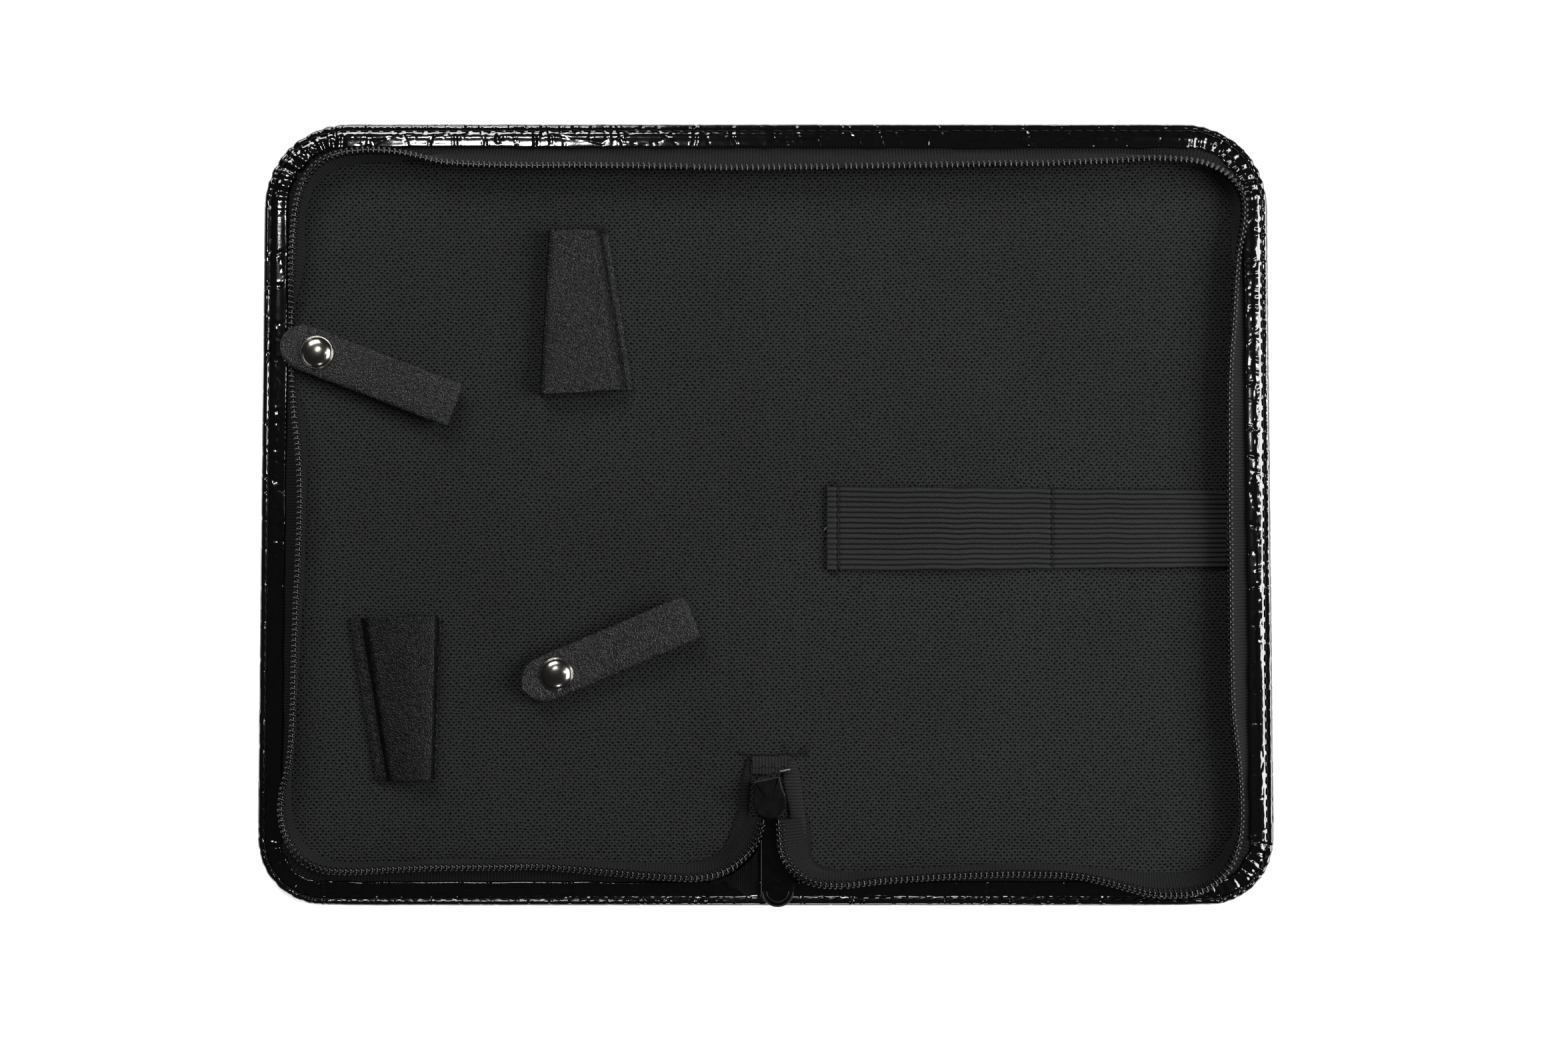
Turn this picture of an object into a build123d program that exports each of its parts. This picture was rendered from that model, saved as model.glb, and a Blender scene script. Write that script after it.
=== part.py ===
from build123d import *
import math
import os

os.makedirs("parts", exist_ok=True)

# ---------------------------------------------------------------- dimensions
# Zipped shears case lying open flat, inside up. Millimetres, +Z up,
# origin under the middle of the outline, z = 0 on the resting face.

TOP_HALF_WIDTH = 157.7        # half width of the outline at its top edge
BOTTOM_HALF_WIDTH = 160.4     # half width of the outline at its bottom edge
HALF_HEIGHT = 123.2           # half of the outline's height
TOP_CORNER_R = 26.0
BOTTOM_CORNER_R = 21.0

SKIN = 1.0                    # outer leather
HEM_TOP = 5.1                 # top of the turned-in hem
HEM_BOTTOM = 4.1
HEM_INSET = 8.0               # inner edge of the hem from the outline
LOW_HEM_X = 24.0              # half length of the soft hem beside the zip gusset
RIM_ROUND = 1.7               # rounding of the rim
BOARD_TOP = 3.0
LINING_TOP = 3.6

FOLD_X = 12.0                 # the two fold lines, left and right of the spine
FOLD_Z = 0.5                  # height of the fold lines
GAP = 0.03                    # clearance each side of a fold face

TAPE_T = 0.6                  # thickness of the standing zip tape
WALL_TOP = 10.45              # top of the standing tape
COIL_R = 0.85
DIP_TOP = 4.9                 # tape pressed down where a strap end lies over it

STRAP_HALF = 7.25             # half width of a strap
FOLD_R = 46.2                 # snap centre to the strap's fold line
TIP_R = 11.5                  # snap centre to the rounded end
STRAP_LOW = 3.8               # underside of the lower layer
LEATHER = 1.2
FLAP_LOW = 6.9                # underside of the upper layer at the snap
LIFT = math.tan(math.radians(4.0))
STRAPS = {1: (-140.5, 50.8, -21.0), 2: (-65.5, -49.9, 23.0)}

SLIDER = (1.05, -88.5)
PULL_X = 3.4                  # centre of the pull's round end
PULL_Y = -93.2
PULL_Z = 5.35
PULL_END = -123.0
PULL_T = 1.0

# Zip stations: outer edge of the sewn flange, foot of the standing tape and
# top of the standing tape, as x, y pairs.
LEFT_PATH = [
    (-24.7, 118.0, -24.8, 113.8, -25.0, 108.4), (-31.4, 118.0, -31.5, 113.8, -31.7, 108.5),
    (-38.4, 118.0, -38.5, 113.8, -38.6, 108.7), (-49.3, 118.0, -49.3, 113.8, -49.4, 108.8),
    (-56.6, 118.0, -56.6, 113.8, -56.6, 108.9), (-64.1, 118.0, -64.1, 113.8, -64.1, 108.9),
    (-71.8, 118.0, -71.8, 113.8, -71.8, 108.8), (-79.4, 118.0, -79.5, 113.8, -79.5, 108.9),
    (-85.4, 118.0, -85.6, 113.8, -85.7, 109.0), (-90.5, 118.0, -90.8, 113.8, -91.0, 109.2),
    (-97.3, 118.0, -97.7, 113.8, -98.1, 109.7), (-100.4, 118.0, -101.2, 113.5, -101.7, 110.1),
    (-108.5, 118.0, -109.7, 112.1, -109.8, 112.1), (-115.4, 118.0, -116.3, 111.2, -116.0, 113.2),
    (-120.1, 118.0, -120.4, 110.8, -120.3, 113.6), (-124.6, 118.0, -124.5, 110.7, -124.5, 113.7),
    (-128.8, 118.0, -128.2, 110.3, -128.4, 113.4), (-132.2, 118.0, -130.7, 109.8, -131.3, 113.1),
    (-135.5, 117.7, -132.9, 109.2, -133.9, 112.4), (-138.7, 116.9, -135.0, 108.5, -136.3, 111.5),
    (-141.7, 115.6, -136.6, 107.6, -138.4, 110.4), (-144.3, 113.9, -138.0, 106.8, -140.1, 109.1),
    (-146.8, 111.8, -139.5, 105.7, -141.7, 107.5), (-149.1, 109.1, -141.0, 104.1, -143.2, 105.5),
    (-150.7, 106.3, -142.3, 102.4, -144.3, 103.4), (-151.9, 103.2, -143.3, 100.4, -145.2, 101.0),
    (-152.7, 99.0, -144.3, 97.4, -146.1, 97.7), (-152.8, 95.8, -144.8, 94.7, -146.6, 95.0),
    (-152.9, 90.3, -145.1, 89.7, -147.1, 89.9), (-153.0, 79.5, -145.1, 79.0, -147.8, 79.2),
    (-153.0, 74.3, -146.1, 73.8, -148.1, 73.9), (-153.1, 64.0, -148.7, 63.8, -148.9, 63.8),
    (-153.2, 59.6, -149.0, 59.5, -149.0, 59.5), (-153.3, 52.8, -149.0, 52.8, -149.0, 52.8),
    (-153.4, 43.9, -148.6, 44.1, -148.9, 44.1), (-153.4, 38.0, -147.4, 38.9, -148.3, 38.8),
    (-153.5, 28.9, -145.3, 30.0, -146.7, 29.8), (-153.6, 21.0, -144.6, 21.8, -145.8, 21.7),
    (-153.7, 11.3, -144.6, 11.6, -145.2, 11.6), (-153.8, 1.8, -144.7, 1.7, -145.1, 1.7),
    (-153.9, -4.2, -144.9, -4.6, -145.3, -4.5), (-154.0, -11.8, -145.2, -12.2, -145.6, -12.1),
    (-154.1, -22.4, -145.6, -22.8, -146.1, -22.8), (-154.2, -28.2, -145.9, -28.5, -146.4, -28.5),
    (-154.2, -34.8, -146.3, -35.1, -146.6, -35.0), (-154.3, -43.4, -146.7, -43.6, -146.9, -43.6),
    (-154.4, -52.8, -147.3, -53.0, -147.1, -53.0), (-154.5, -61.4, -147.8, -61.6, -147.3, -61.7),
    (-154.6, -67.7, -148.2, -68.0, -147.6, -68.1), (-154.7, -78.0, -149.1, -78.8, -148.8, -78.8),
    (-154.7, -79.9, -149.3, -81.1, -149.3, -81.1), (-154.8, -85.6, -149.4, -86.6, -150.6, -86.4),
    (-154.8, -89.1, -149.3, -89.7, -151.0, -89.5), (-154.9, -92.0, -149.2, -92.0, -151.2, -92.0),
    (-154.9, -96.3, -148.6, -95.2, -150.8, -95.6), (-155.0, -101.1, -147.7, -98.6, -149.9, -99.4),
    (-154.5, -106.0, -146.3, -101.5, -148.4, -102.7), (-152.6, -110.6, -144.2, -104.1, -146.4, -105.8),
    (-150.0, -113.7, -142.8, -105.4, -144.8, -107.6), (-146.6, -116.1, -141.4, -106.4, -142.8, -109.0),
    (-142.3, -117.7, -139.0, -107.8, -139.9, -110.2), (-137.9, -118.0, -136.4, -108.7, -136.8, -111.0),
    (-134.5, -118.0, -134.0, -109.1, -134.2, -111.2), (-130.0, -118.0, -130.2, -109.5, -130.2, -111.3),
    (-119.0, -118.0, -119.5, -109.6, -119.4, -110.7), (-108.3, -118.0, -108.6, -109.0, -108.5, -110.2),
    (-100.7, -118.0, -100.8, -108.7, -100.8, -110.0), (-95.9, -118.0, -96.0, -108.6, -96.0, -110.0),
    (-89.4, -118.0, -89.5, -108.4, -89.5, -109.9), (-79.3, -118.0, -79.7, -108.2, -79.6, -109.8),
    (-73.6, -118.0, -73.3, -108.2, -73.4, -109.6), (-65.5, -118.0, -64.8, -108.4, -64.9, -110.1),
    (-57.6, -118.0, -56.7, -108.7, -56.9, -110.8), (-49.3, -118.0, -48.5, -109.1, -48.7, -111.5),
    (-40.9, -118.0, -40.2, -109.4, -40.4, -112.3), (-33.3, -118.0, -32.7, -109.6, -32.9, -112.9),
    (-24.1, -118.0, -24.3, -109.7, -24.2, -113.4),
]
SPINE_TOP_PATH = [
    (23.1, 118.0, 23.2, 113.8, 23.2, 108.4), (11.9, 118.0, 11.9, 113.8, 12.0, 108.3),
    (1.5, 118.0, 1.5, 113.8, 1.6, 108.2), (-9.0, 118.0, -9.0, 113.8, -9.0, 108.1),
    (-14.9, 118.0, -15.0, 113.8, -15.1, 108.1), (-23.2, 118.0, -23.3, 113.8, -23.4, 108.3),
]
GUSSET_LEFT_PATH = [
    (-23.5, -108.4, -23.5, -109.7, -23.4, -113.4), (-19.4, -107.9, -19.2, -109.2, -18.6, -112.9),
    (-16.3, -106.9, -15.9, -108.2, -14.6, -112.0), (-14.1, -105.6, -13.5, -106.8, -11.4, -110.6),
    (-12.3, -103.3, -11.5, -104.3, -8.2, -108.4), (-11.0, -100.6, -10.0, -101.4, -5.3, -105.7),
    (-10.4, -98.8, -9.2, -99.5, -3.2, -102.9), (-9.8, -96.9, -8.6, -97.3, -1.8, -99.6),
    (-9.0, -94.2, -7.7, -94.4, -0.8, -95.5),
]
RIGHT_PATH = [
    (24.6, 118.0, 24.6, 113.8, 24.7, 108.5), (30.8, 118.0, 30.9, 113.8, 30.9, 108.6),
    (38.1, 118.0, 38.2, 113.8, 38.3, 108.7), (44.6, 118.0, 44.6, 113.8, 44.7, 108.8),
    (51.3, 118.0, 51.4, 113.8, 51.5, 108.9), (57.0, 118.0, 57.1, 113.8, 57.2, 109.0),
    (62.4, 118.0, 62.5, 113.8, 62.6, 109.1), (72.4, 118.0, 72.4, 113.8, 72.5, 109.4),
    (79.9, 118.0, 79.9, 113.8, 79.8, 109.4), (86.8, 118.0, 86.9, 113.8, 87.0, 109.4),
    (93.0, 118.0, 93.2, 113.8, 93.4, 109.7), (99.2, 118.0, 99.4, 113.8, 99.6, 110.0),
    (108.4, 118.0, 108.7, 113.8, 108.9, 110.3), (119.1, 118.0, 119.2, 112.7, 119.3, 111.1),
    (125.7, 118.0, 125.4, 111.6, 125.4, 111.0), (131.4, 118.0, 130.7, 110.6, 130.7, 110.6),
    (136.2, 117.6, 134.5, 109.5, 134.6, 110.1), (140.6, 116.2, 137.8, 108.2, 138.1, 109.1),
    (144.5, 113.8, 140.6, 106.5, 141.2, 107.7), (147.7, 110.8, 142.8, 104.7, 143.9, 106.0),
    (150.2, 107.3, 144.5, 102.4, 146.1, 103.8), (151.8, 103.4, 145.5, 100.0, 147.9, 101.3),
    (152.7, 99.3, 146.1, 97.7, 149.0, 98.4), (152.8, 95.8, 146.3, 95.8, 149.3, 95.8),
    (152.9, 89.5, 146.5, 90.3, 148.9, 90.0), (153.0, 81.5, 146.8, 82.5, 147.4, 82.4),
    (153.0, 73.7, 147.9, 74.1, 146.6, 74.3), (153.1, 66.4, 148.9, 66.6, 146.1, 66.8),
    (153.2, 56.7, 149.0, 57.0, 145.5, 57.3), (153.3, 48.3, 149.1, 48.6, 144.8, 48.9),
    (153.4, 40.8, 149.2, 40.8, 144.5, 40.9), (153.5, 34.7, 149.3, 34.7, 144.4, 34.7),
    (153.6, 24.5, 149.4, 24.5, 144.4, 24.5), (153.7, 16.8, 149.5, 16.8, 144.4, 16.8),
    (153.8, 7.7, 149.6, 7.7, 144.4, 7.7), (153.9, -0.6, 149.7, -0.6, 144.4, -0.7),
    (153.9, -6.9, 149.7, -7.0, 144.5, -7.0), (154.0, -15.6, 149.8, -15.6, 144.6, -15.7),
    (154.1, -23.9, 149.9, -23.9, 144.6, -24.0), (154.2, -32.8, 150.0, -32.8, 144.7, -32.9),
    (154.3, -41.7, 150.1, -41.8, 144.8, -41.8), (154.4, -47.5, 150.2, -47.6, 144.9, -47.7),
    (154.4, -52.6, 150.2, -52.7, 145.0, -52.8), (154.5, -62.3, 150.3, -62.7, 145.5, -63.1),
    (154.6, -72.9, 150.5, -73.4, 146.8, -73.8), (154.7, -81.6, 150.3, -82.0, 147.6, -82.2),
    (154.9, -93.0, 148.9, -93.0, 148.1, -93.0), (154.9, -99.1, 147.4, -98.5, 147.9, -98.5),
    (154.9, -104.1, 145.8, -102.2, 147.3, -102.5), (153.4, -109.0, 143.9, -105.4, 146.2, -106.3),
    (150.6, -113.1, 141.8, -108.0, 144.7, -109.6), (147.8, -115.4, 140.1, -109.4, 143.2, -111.8),
    (144.7, -117.0, 138.4, -110.4, 141.5, -113.7), (141.4, -117.8, 136.7, -111.1, 139.6, -115.2),
    (138.3, -118.0, 135.0, -111.6, 137.5, -116.5), (135.6, -118.0, 133.5, -111.9, 135.4, -117.4),
    (131.2, -118.0, 130.5, -112.2, 131.2, -118.3), (127.7, -118.0, 127.4, -112.3, 127.7, -118.5),
    (123.0, -118.0, 123.3, -112.4, 123.0, -118.5), (119.1, -118.0, 120.2, -112.3, 119.1, -118.1),
    (113.1, -118.0, 114.9, -112.0, 113.5, -116.6), (106.0, -118.0, 107.7, -111.3, 106.9, -114.8),
    (97.6, -118.0, 98.7, -110.4, 98.3, -112.9), (92.7, -118.0, 93.2, -110.0, 93.1, -112.4),
    (85.1, -118.0, 85.3, -109.7, 85.2, -112.1), (79.4, -118.0, 79.5, -109.6, 79.5, -112.0),
    (73.2, -118.0, 72.9, -109.7, 73.0, -112.1), (65.0, -118.0, 64.6, -110.1, 64.7, -112.4),
    (55.2, -118.0, 54.8, -110.8, 54.9, -112.9), (46.8, -118.0, 46.4, -111.3, 46.5, -113.4),
    (41.0, -118.0, 40.5, -111.6, 40.7, -113.8), (36.9, -118.0, 36.4, -111.9, 36.6, -114.1),
    (30.8, -118.0, 29.9, -112.2, 30.3, -114.9), (24.5, -118.0, 24.1, -112.2, 24.3, -115.6),
]
GUSSET_RIGHT_PATH = [
    (23.3, -110.9, 23.3, -112.2, 23.5, -115.6), (20.9, -110.8, 20.9, -112.1, 20.8, -115.6),
    (18.8, -110.6, 18.7, -111.9, 18.4, -115.5), (16.0, -109.5, 15.7, -110.7, 14.5, -114.8),
    (14.4, -107.0, 13.7, -108.2, 10.8, -113.2), (14.0, -104.7, 13.1, -105.6, 7.8, -110.9),
    (14.1, -103.8, 13.0, -104.4, 6.0, -108.6), (14.2, -103.4, 12.9, -103.7, 4.8, -105.9),
    (14.0, -101.3, 12.7, -101.4, 4.3, -102.2), (13.7, -97.7, 12.4, -97.8, 4.0, -98.4),
    (13.3, -95.1, 12.0, -95.2, 3.8, -95.6),
]


# ---------------------------------------------------------------- helpers
def save(name, shape):
    export_step(shape, "parts/" + name + ".step")


def outline(inset):
    """Rounded quadrilateral of the open case, inset all round."""
    pts = [(-TOP_HALF_WIDTH, HALF_HEIGHT, TOP_CORNER_R),
           (TOP_HALF_WIDTH, HALF_HEIGHT, TOP_CORNER_R),
           (BOTTOM_HALF_WIDTH, -HALF_HEIGHT, BOTTOM_CORNER_R),
           (-BOTTOM_HALF_WIDTH, -HALF_HEIGHT, BOTTOM_CORNER_R)]
    n = len(pts)
    lines = []
    for i in range(n):
        a, b = pts[i], pts[(i + 1) % n]
        length = math.hypot(b[0] - a[0], b[1] - a[1])
        d = ((b[0] - a[0]) / length, (b[1] - a[1]) / length)
        lines.append(((a[0] + d[1] * inset, a[1] - d[0] * inset), d))
    corners = []
    for i in range(n):
        (p, d), (q, e) = lines[i - 1], lines[i]
        det = d[1] * e[0] - d[0] * e[1]
        t = ((q[1] - p[1]) * e[0] - (q[0] - p[0]) * e[1]) / det
        corners.append((p[0] + d[0] * t, p[1] + d[1] * t))
    face = make_face(Polyline(*corners, close=True))
    top = [v for v in face.vertices() if v.Y > 0]
    face = fillet(top, TOP_CORNER_R - inset)
    low = [v for v in face.vertices() if v.Y < 0 and abs(v.X) > BOTTOM_HALF_WIDTH - inset - 3.0
           and v.Y < -HALF_HEIGHT + inset + 3.0]
    return fillet(low, BOTTOM_CORNER_R - inset)


def slab(inset, z0, z1):
    return Pos(0, 0, z0) * extrude(outline(inset), z1 - z0)


def prism_xz(points, y0=-140.0, y1=140.0):
    """Solid from a polygon in x, z, drawn out along y."""
    wire = Wire.make_polygon([Vector(x, y0, z) for x, z in points], close=True)
    return Solid.extrude(Face(wire), Vector(0, y1 - y0, 0))


def prism_xy(points, z0, z1):
    wire = Wire.make_polygon([Vector(x, y, z0) for x, y in points], close=True)
    return Solid.extrude(Face(wire), Vector(0, 0, z1 - z0))


def loft(sections):
    wires = [Wire.make_polygon([Vector(*p) for p in s], close=True) for s in sections]
    solid = Solid.make_loft(wires, ruled=True)
    return solid


def side_region(sign):
    """Everything outboard of a fold: plain below the fold line, mitred above it."""
    x = FOLD_X + GAP
    return prism_xz([(sign * 175, -1), (sign * x, -1), (sign * x, FOLD_Z),
                     (sign * (x + 6.5), FOLD_Z + 6.5), (sign * 175, FOLD_Z + 6.5)])


def spine_region():
    """Everything between the two folds, mitred inward above the fold lines."""
    x = FOLD_X - GAP
    return prism_xz([(-x, -1), (x, -1), (x, FOLD_Z), (x - 6.5, FOLD_Z + 6.5),
                     (-x + 6.5, FOLD_Z + 6.5), (-x, FOLD_Z)])


def bridge_region():
    """The soft stretch that crosses the spine and both folds above the skin."""
    x = FOLD_X
    return prism_xz([(-x - 0.5, 1.0), (x + 0.5, 1.0), (x + 4.6, 5.1), (x + 4.6, 6.0),
                     (-x - 4.6, 6.0), (-x - 4.6, 5.1)])


def wall_sections(stations, tops, z_foot):
    """Flange lying outward under the hem, with the tape standing up from its foot."""
    out = []
    h = TAPE_T / 2
    for (fx, fy, bx, by, tx, ty), zt in zip(stations, tops):
        length = math.hypot(fx - bx, fy - by)
        u = ((fx - bx) / length, (fy - by) / length)
        st = (tx - bx) * u[0] + (ty - by) * u[1]
        zb = z_foot + 0.25
        norm = math.hypot(st, zt - zb)
        ws, wz = st / norm, (zt - zb) / norm
        inner = (st - wz * h, zt + ws * h)
        outer = (st + wz * h, zt - ws * h)
        s2 = inner[0] - ws / wz * (inner[1] - z_foot)
        s5 = outer[0] - ws / wz * (outer[1] - z_foot - 0.5)
        sec = [(length, z_foot), (s2, z_foot), inner, outer, (s5, z_foot + 0.5),
               (length, z_foot + 0.5)]
        out.append([(bx + u[0] * s, by + u[1] * s, z) for s, z in sec])
    return out


def ramp_sections(stations, tops, z_foot):
    """Flange lying away from the coil, with the tape sloping up to the coil."""
    out = []
    h = 0.25
    for (fx, fy, bx, by, tx, ty), zt in zip(stations, tops):
        run = math.hypot(tx - bx, ty - by)
        u = ((tx - bx) / run, (ty - by) / run)
        zb = z_foot + 0.25
        norm = math.hypot(run, zt - zb)
        ws, wz = run / norm, (zt - zb) / norm
        low = (run + wz * h, zt - ws * h)
        high = (run - wz * h, zt + ws * h)
        s2 = low[0] - ws / wz * (low[1] - z_foot)
        s5 = high[0] - ws / wz * (high[1] - z_foot - 0.5)
        sec = [(-1.3, z_foot), (max(s2, 0.0), z_foot), low, high,
               (s5, z_foot + 0.5), (-1.3, z_foot + 0.5)]
        out.append([(bx + u[0] * s, by + u[1] * s, z) for s, z in sec])
    return out


def coil_sections(stations, tops, raise_by=0.12):
    """Eight-sided rope that stands for the coil on the tape's edge."""
    out = []
    pts = [(s[4], s[5]) for s in stations]
    n = len(pts)
    for i, ((x, y), zt) in enumerate(zip(pts, tops)):
        a, b = pts[max(i - 1, 0)], pts[min(i + 1, n - 1)]
        length = math.hypot(b[0] - a[0], b[1] - a[1])
        d = ((b[0] - a[0]) / length, (b[1] - a[1]) / length)
        nx, ny = -d[1], d[0]
        zc = zt + COIL_R + raise_by
        sec = []
        for k in range(8):
            t = math.radians(22.5 + 45 * k)
            sec.append((x + nx * COIL_R * math.cos(t), y + ny * COIL_R * math.cos(t),
                        zc + COIL_R * math.sin(t)))
        out.append(sec)
    return out


def smooth(t):
    t = min(max(t, 0.0), 1.0)
    return t * t * (3 - 2 * t)


def left_top(x, y):
    """Height of the standing tape on the left half, with the dip under strap 1."""
    if x > -140:
        return WALL_TOP
    k = smooth((y - 29.0) / 13.0) * (1 - smooth((y - 65.0) / 13.0))
    return WALL_TOP + (DIP_TOP - WALL_TOP) * k


def ramp_top(stations):
    """Height of the coil edge falling towards the slider."""
    run = [0.0]
    for a, b in zip(stations, stations[1:]):
        run.append(run[-1] + math.hypot(b[4] - a[4], b[5] - a[5]))
    return [WALL_TOP + (6.85 - WALL_TOP) * smooth(r / run[-1]) for r in run]


# ---------------------------------------------------------------- covers
# One rounded tray of leather with its hem turned in, cut at the two folds.
case = slab(0.0, 0.0, HEM_TOP)
rim_edges = [e for e in case.edges()
             if abs(e.bounding_box().min.Z - e.bounding_box().max.Z) < 1e-6]
case = fillet(rim_edges, RIM_ROUND)
case = case - slab(SKIN, SKIN, HEM_BOTTOM) - slab(HEM_INSET, HEM_BOTTOM - 0.5, HEM_TOP + 1)

low_hem = Pos(0, -118.0, HEM_BOTTOM - 0.05) * Box(2 * LOW_HEM_X, 16.0, 2.0, align=(Align.CENTER, Align.CENTER, Align.MIN))
low_hem_cut = Pos(0, -118.0, HEM_BOTTOM) * Box(2 * LOW_HEM_X + 0.1, 16.0, 2.0, align=(Align.CENTER, Align.CENTER, Align.MIN))
left_cover = (case & side_region(-1)) - low_hem_cut
right_cover = (case & side_region(1)) - low_hem_cut
floor = Pos(0, 0, 0.0) * Box(60, 260, 2.0, align=(Align.CENTER, Align.CENTER, Align.CENTER))
spine_cover = (case & spine_region()) & (Pos(0, 0, 0) * Box(60, 260, 2 * SKIN))
spine_hems = (case & bridge_region()) - (Pos(0, 0, 0) * Box(60, 260, 2 * SKIN))
spine_hems = spine_hems & prism_xz([(-17.0, 1.0), (17.0, 1.0), (17.0, 6.0), (-17.0, 6.0)])
spine_hems = spine_hems + ((case & (Pos(0, 0, HEM_BOTTOM + 0.02) * Box(60, 260, 3, align=(Align.CENTER, Align.CENTER, Align.MIN)))
                            & low_hem))
save("left_cover", left_cover)
save("right_cover", right_cover)
save("spine_cover", spine_cover)

# ---------------------------------------------------------------- boards, lining
posts = []
for number in STRAPS:
    px, py, _ = STRAPS[number]
    posts.append((px, py))

board = slab(SKIN + 0.1, SKIN, BOARD_TOP)
left_board = board & prism_xz([(-175, 0), (-14.6, 0), (-14.6, 4), (-175, 4)])
for px, py in posts:
    left_board = left_board - Pos(px, py, SKIN) * Cylinder(4.6, 0.55, align=(Align.CENTER, Align.CENTER, Align.MIN))
    left_board = left_board - Pos(px, py, SKIN) * Cylinder(1.7, 3.0, align=(Align.CENTER, Align.CENTER, Align.MIN))
right_board = board & prism_xz([(175, 0), (14.6, 0), (14.6, 4), (175, 4)])
save("left_board", left_board)
save("right_board", right_board)

lining = slab(SKIN + 0.3, BOARD_TOP, LINING_TOP)
left_lining = lining & prism_xz([(-175, 0), (-15.2, 0), (-15.2, 4), (-175, 4)])
for px, py in posts:
    left_lining = left_lining - Pos(px, py, BOARD_TOP - 0.1) * Cylinder(1.7, 1.0, align=(Align.CENTER, Align.CENTER, Align.MIN))
right_lining = lining & prism_xz([(175, 0), (15.2, 0), (15.2, 4), (175, 4)])
spine_lining = lining & prism_xz([(-15.1, 0), (15.1, 0), (15.1, 4), (-15.1, 4)])
save("left_lining", left_lining)
save("right_lining", right_lining)
save("spine_lining", spine_lining)

spine_padding = Pos(0, 0, SKIN) * Box(18.6, 2 * (HALF_HEIGHT - SKIN - 0.2), BOARD_TOP - SKIN - 0.05,
                                      align=(Align.CENTER, Align.CENTER, Align.MIN))
save("spine_padding", spine_padding)
save("spine_hems", spine_hems)

# ---------------------------------------------------------------- zip
left_tops = [left_top(s[4], s[5]) for s in LEFT_PATH]
right_tops = [WALL_TOP] * len(RIGHT_PATH)
spine_tops = [WALL_TOP] * len(SPINE_TOP_PATH)
save("left_zip_tape", loft(wall_sections(LEFT_PATH, left_tops, LINING_TOP)))
save("left_zip_coil", loft(coil_sections(LEFT_PATH, left_tops)))
save("right_zip_tape", loft(wall_sections(RIGHT_PATH, right_tops, LINING_TOP)))
save("right_zip_coil", loft(coil_sections(RIGHT_PATH, right_tops)))
save("spine_zip_tape", loft(wall_sections(SPINE_TOP_PATH, spine_tops, LINING_TOP)))
save("spine_zip_coil", loft(coil_sections(SPINE_TOP_PATH, spine_tops)))

gl, gr = ramp_top(GUSSET_LEFT_PATH), ramp_top(GUSSET_RIGHT_PATH)
foot = LINING_TOP + 0.05
beside_left = prism_xy([(-7.5, -93.6), (-6.8, -90.0), (-6.0, -82.3), (-5.2, -76.4),
                        (-4.95, -76.4), (-4.95, -93.6)], foot, foot + 0.6)
beside_right = prism_xy([(11.6, -93.6), (10.2, -88.5), (8.6, -82.0), (8.4, -76.4),
                         (7.9, -76.4), (7.9, -82.6), (7.1, -83.2), (7.1, -93.6)], foot, foot + 0.6)
gusset_tapes = Compound(children=[loft(ramp_sections(GUSSET_LEFT_PATH, gl, foot)),
                                  loft(ramp_sections(GUSSET_RIGHT_PATH, gr, foot)),
                                  beside_left, beside_right])
gusset_coils = Compound(children=[loft(coil_sections(GUSSET_LEFT_PATH, gl, 0.3)),
                                  loft(coil_sections(GUSSET_RIGHT_PATH, gr, 0.3))])
save("gusset_tapes", gusset_tapes)
save("gusset_coils", gusset_coils)

# Loose corner of the folded gusset cloth, beside the pull.
save("gusset_patch", prism_xy([(-2.3, -105.0), (-3.6, -106.9), (-6.5, -109.6), (-9.5, -111.9), (-13.0, -114.0),
                               (-17.0, -114.7), (-10.7, -116.0), (-5.2, -118.8), (-2.3, -118.2)],
                              5.15, 5.5))
# Tape ends folded back on themselves, and the stitched bar that holds them.
tab = prism_xz([(-4.6, 3.7), (7.6, 3.7), (7.6, 5.0), (7.1, 5.4), (-4.1, 5.4), (-4.6, 5.0)], -81.2, -76.1)
save("tape_end_tab", tab)
tack = Pos(2.5, -75.3, LINING_TOP + 0.02) * Box(20.6, 1.0, 0.6, align=(Align.CENTER, Align.CENTER, Align.MIN))
save("bar_tack", tack)

# ---------------------------------------------------------------- slider and pull
sx, sy = SLIDER


def shield(front, half_front, half_rear, z0, z1, rear=6.5):
    """Plan of the slider plates: round nose to -y, narrow flat rear to +y."""
    pts = []
    c = -6.5 + half_front + front
    for k in range(0, 19):
        t = math.pi + math.pi * k / 18
        pts.append((half_front * math.cos(t), c + half_front * math.sin(t)))
    pts += [(half_rear, rear - 0.8), (half_rear - 0.8, rear), (-half_rear + 0.8, rear), (-half_rear, rear - 0.8)]
    return prism_xy([(sx + x, sy + y) for x, y in pts], z0, z1)


upper = shield(0.0, 5.35, 3.6, 8.7, 9.5)
lower = shield(0.0, 5.35, 3.6, 6.0, 6.9) - (Pos(sx, sy - 9.0, 6.0) * Box(14, 10.2, 3))
lower = lower + Pos(sx, sy - 4.6, 6.0) * Box(2.2, 3.8, 0.9, align=(Align.CENTER, Align.CENTER, Align.MIN))
post = prism_xy([(sx - 1.3, sy - 5.0), (sx, sy - 5.9), (sx + 1.3, sy - 5.0), (sx + 0.5, sy - 1.2),
                 (sx - 0.5, sy - 1.2)], 6.9, 8.7)
rails = []
for s in (-1, 1):
    plan = [(sx + s * 5.15, sy - 2.0), (sx + s * 3.45, sy + 6.0), (sx + s * 2.5, sy + 6.0), (sx + s * 4.2, sy - 2.0)]
    rails.append(prism_xy(plan, 6.9, 7.4))
    rails.append(prism_xy(plan, 8.2, 8.7))
slider_body = upper + lower + post
for r in rails:
    slider_body = slider_body + r
save("slider_body", slider_body)

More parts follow.
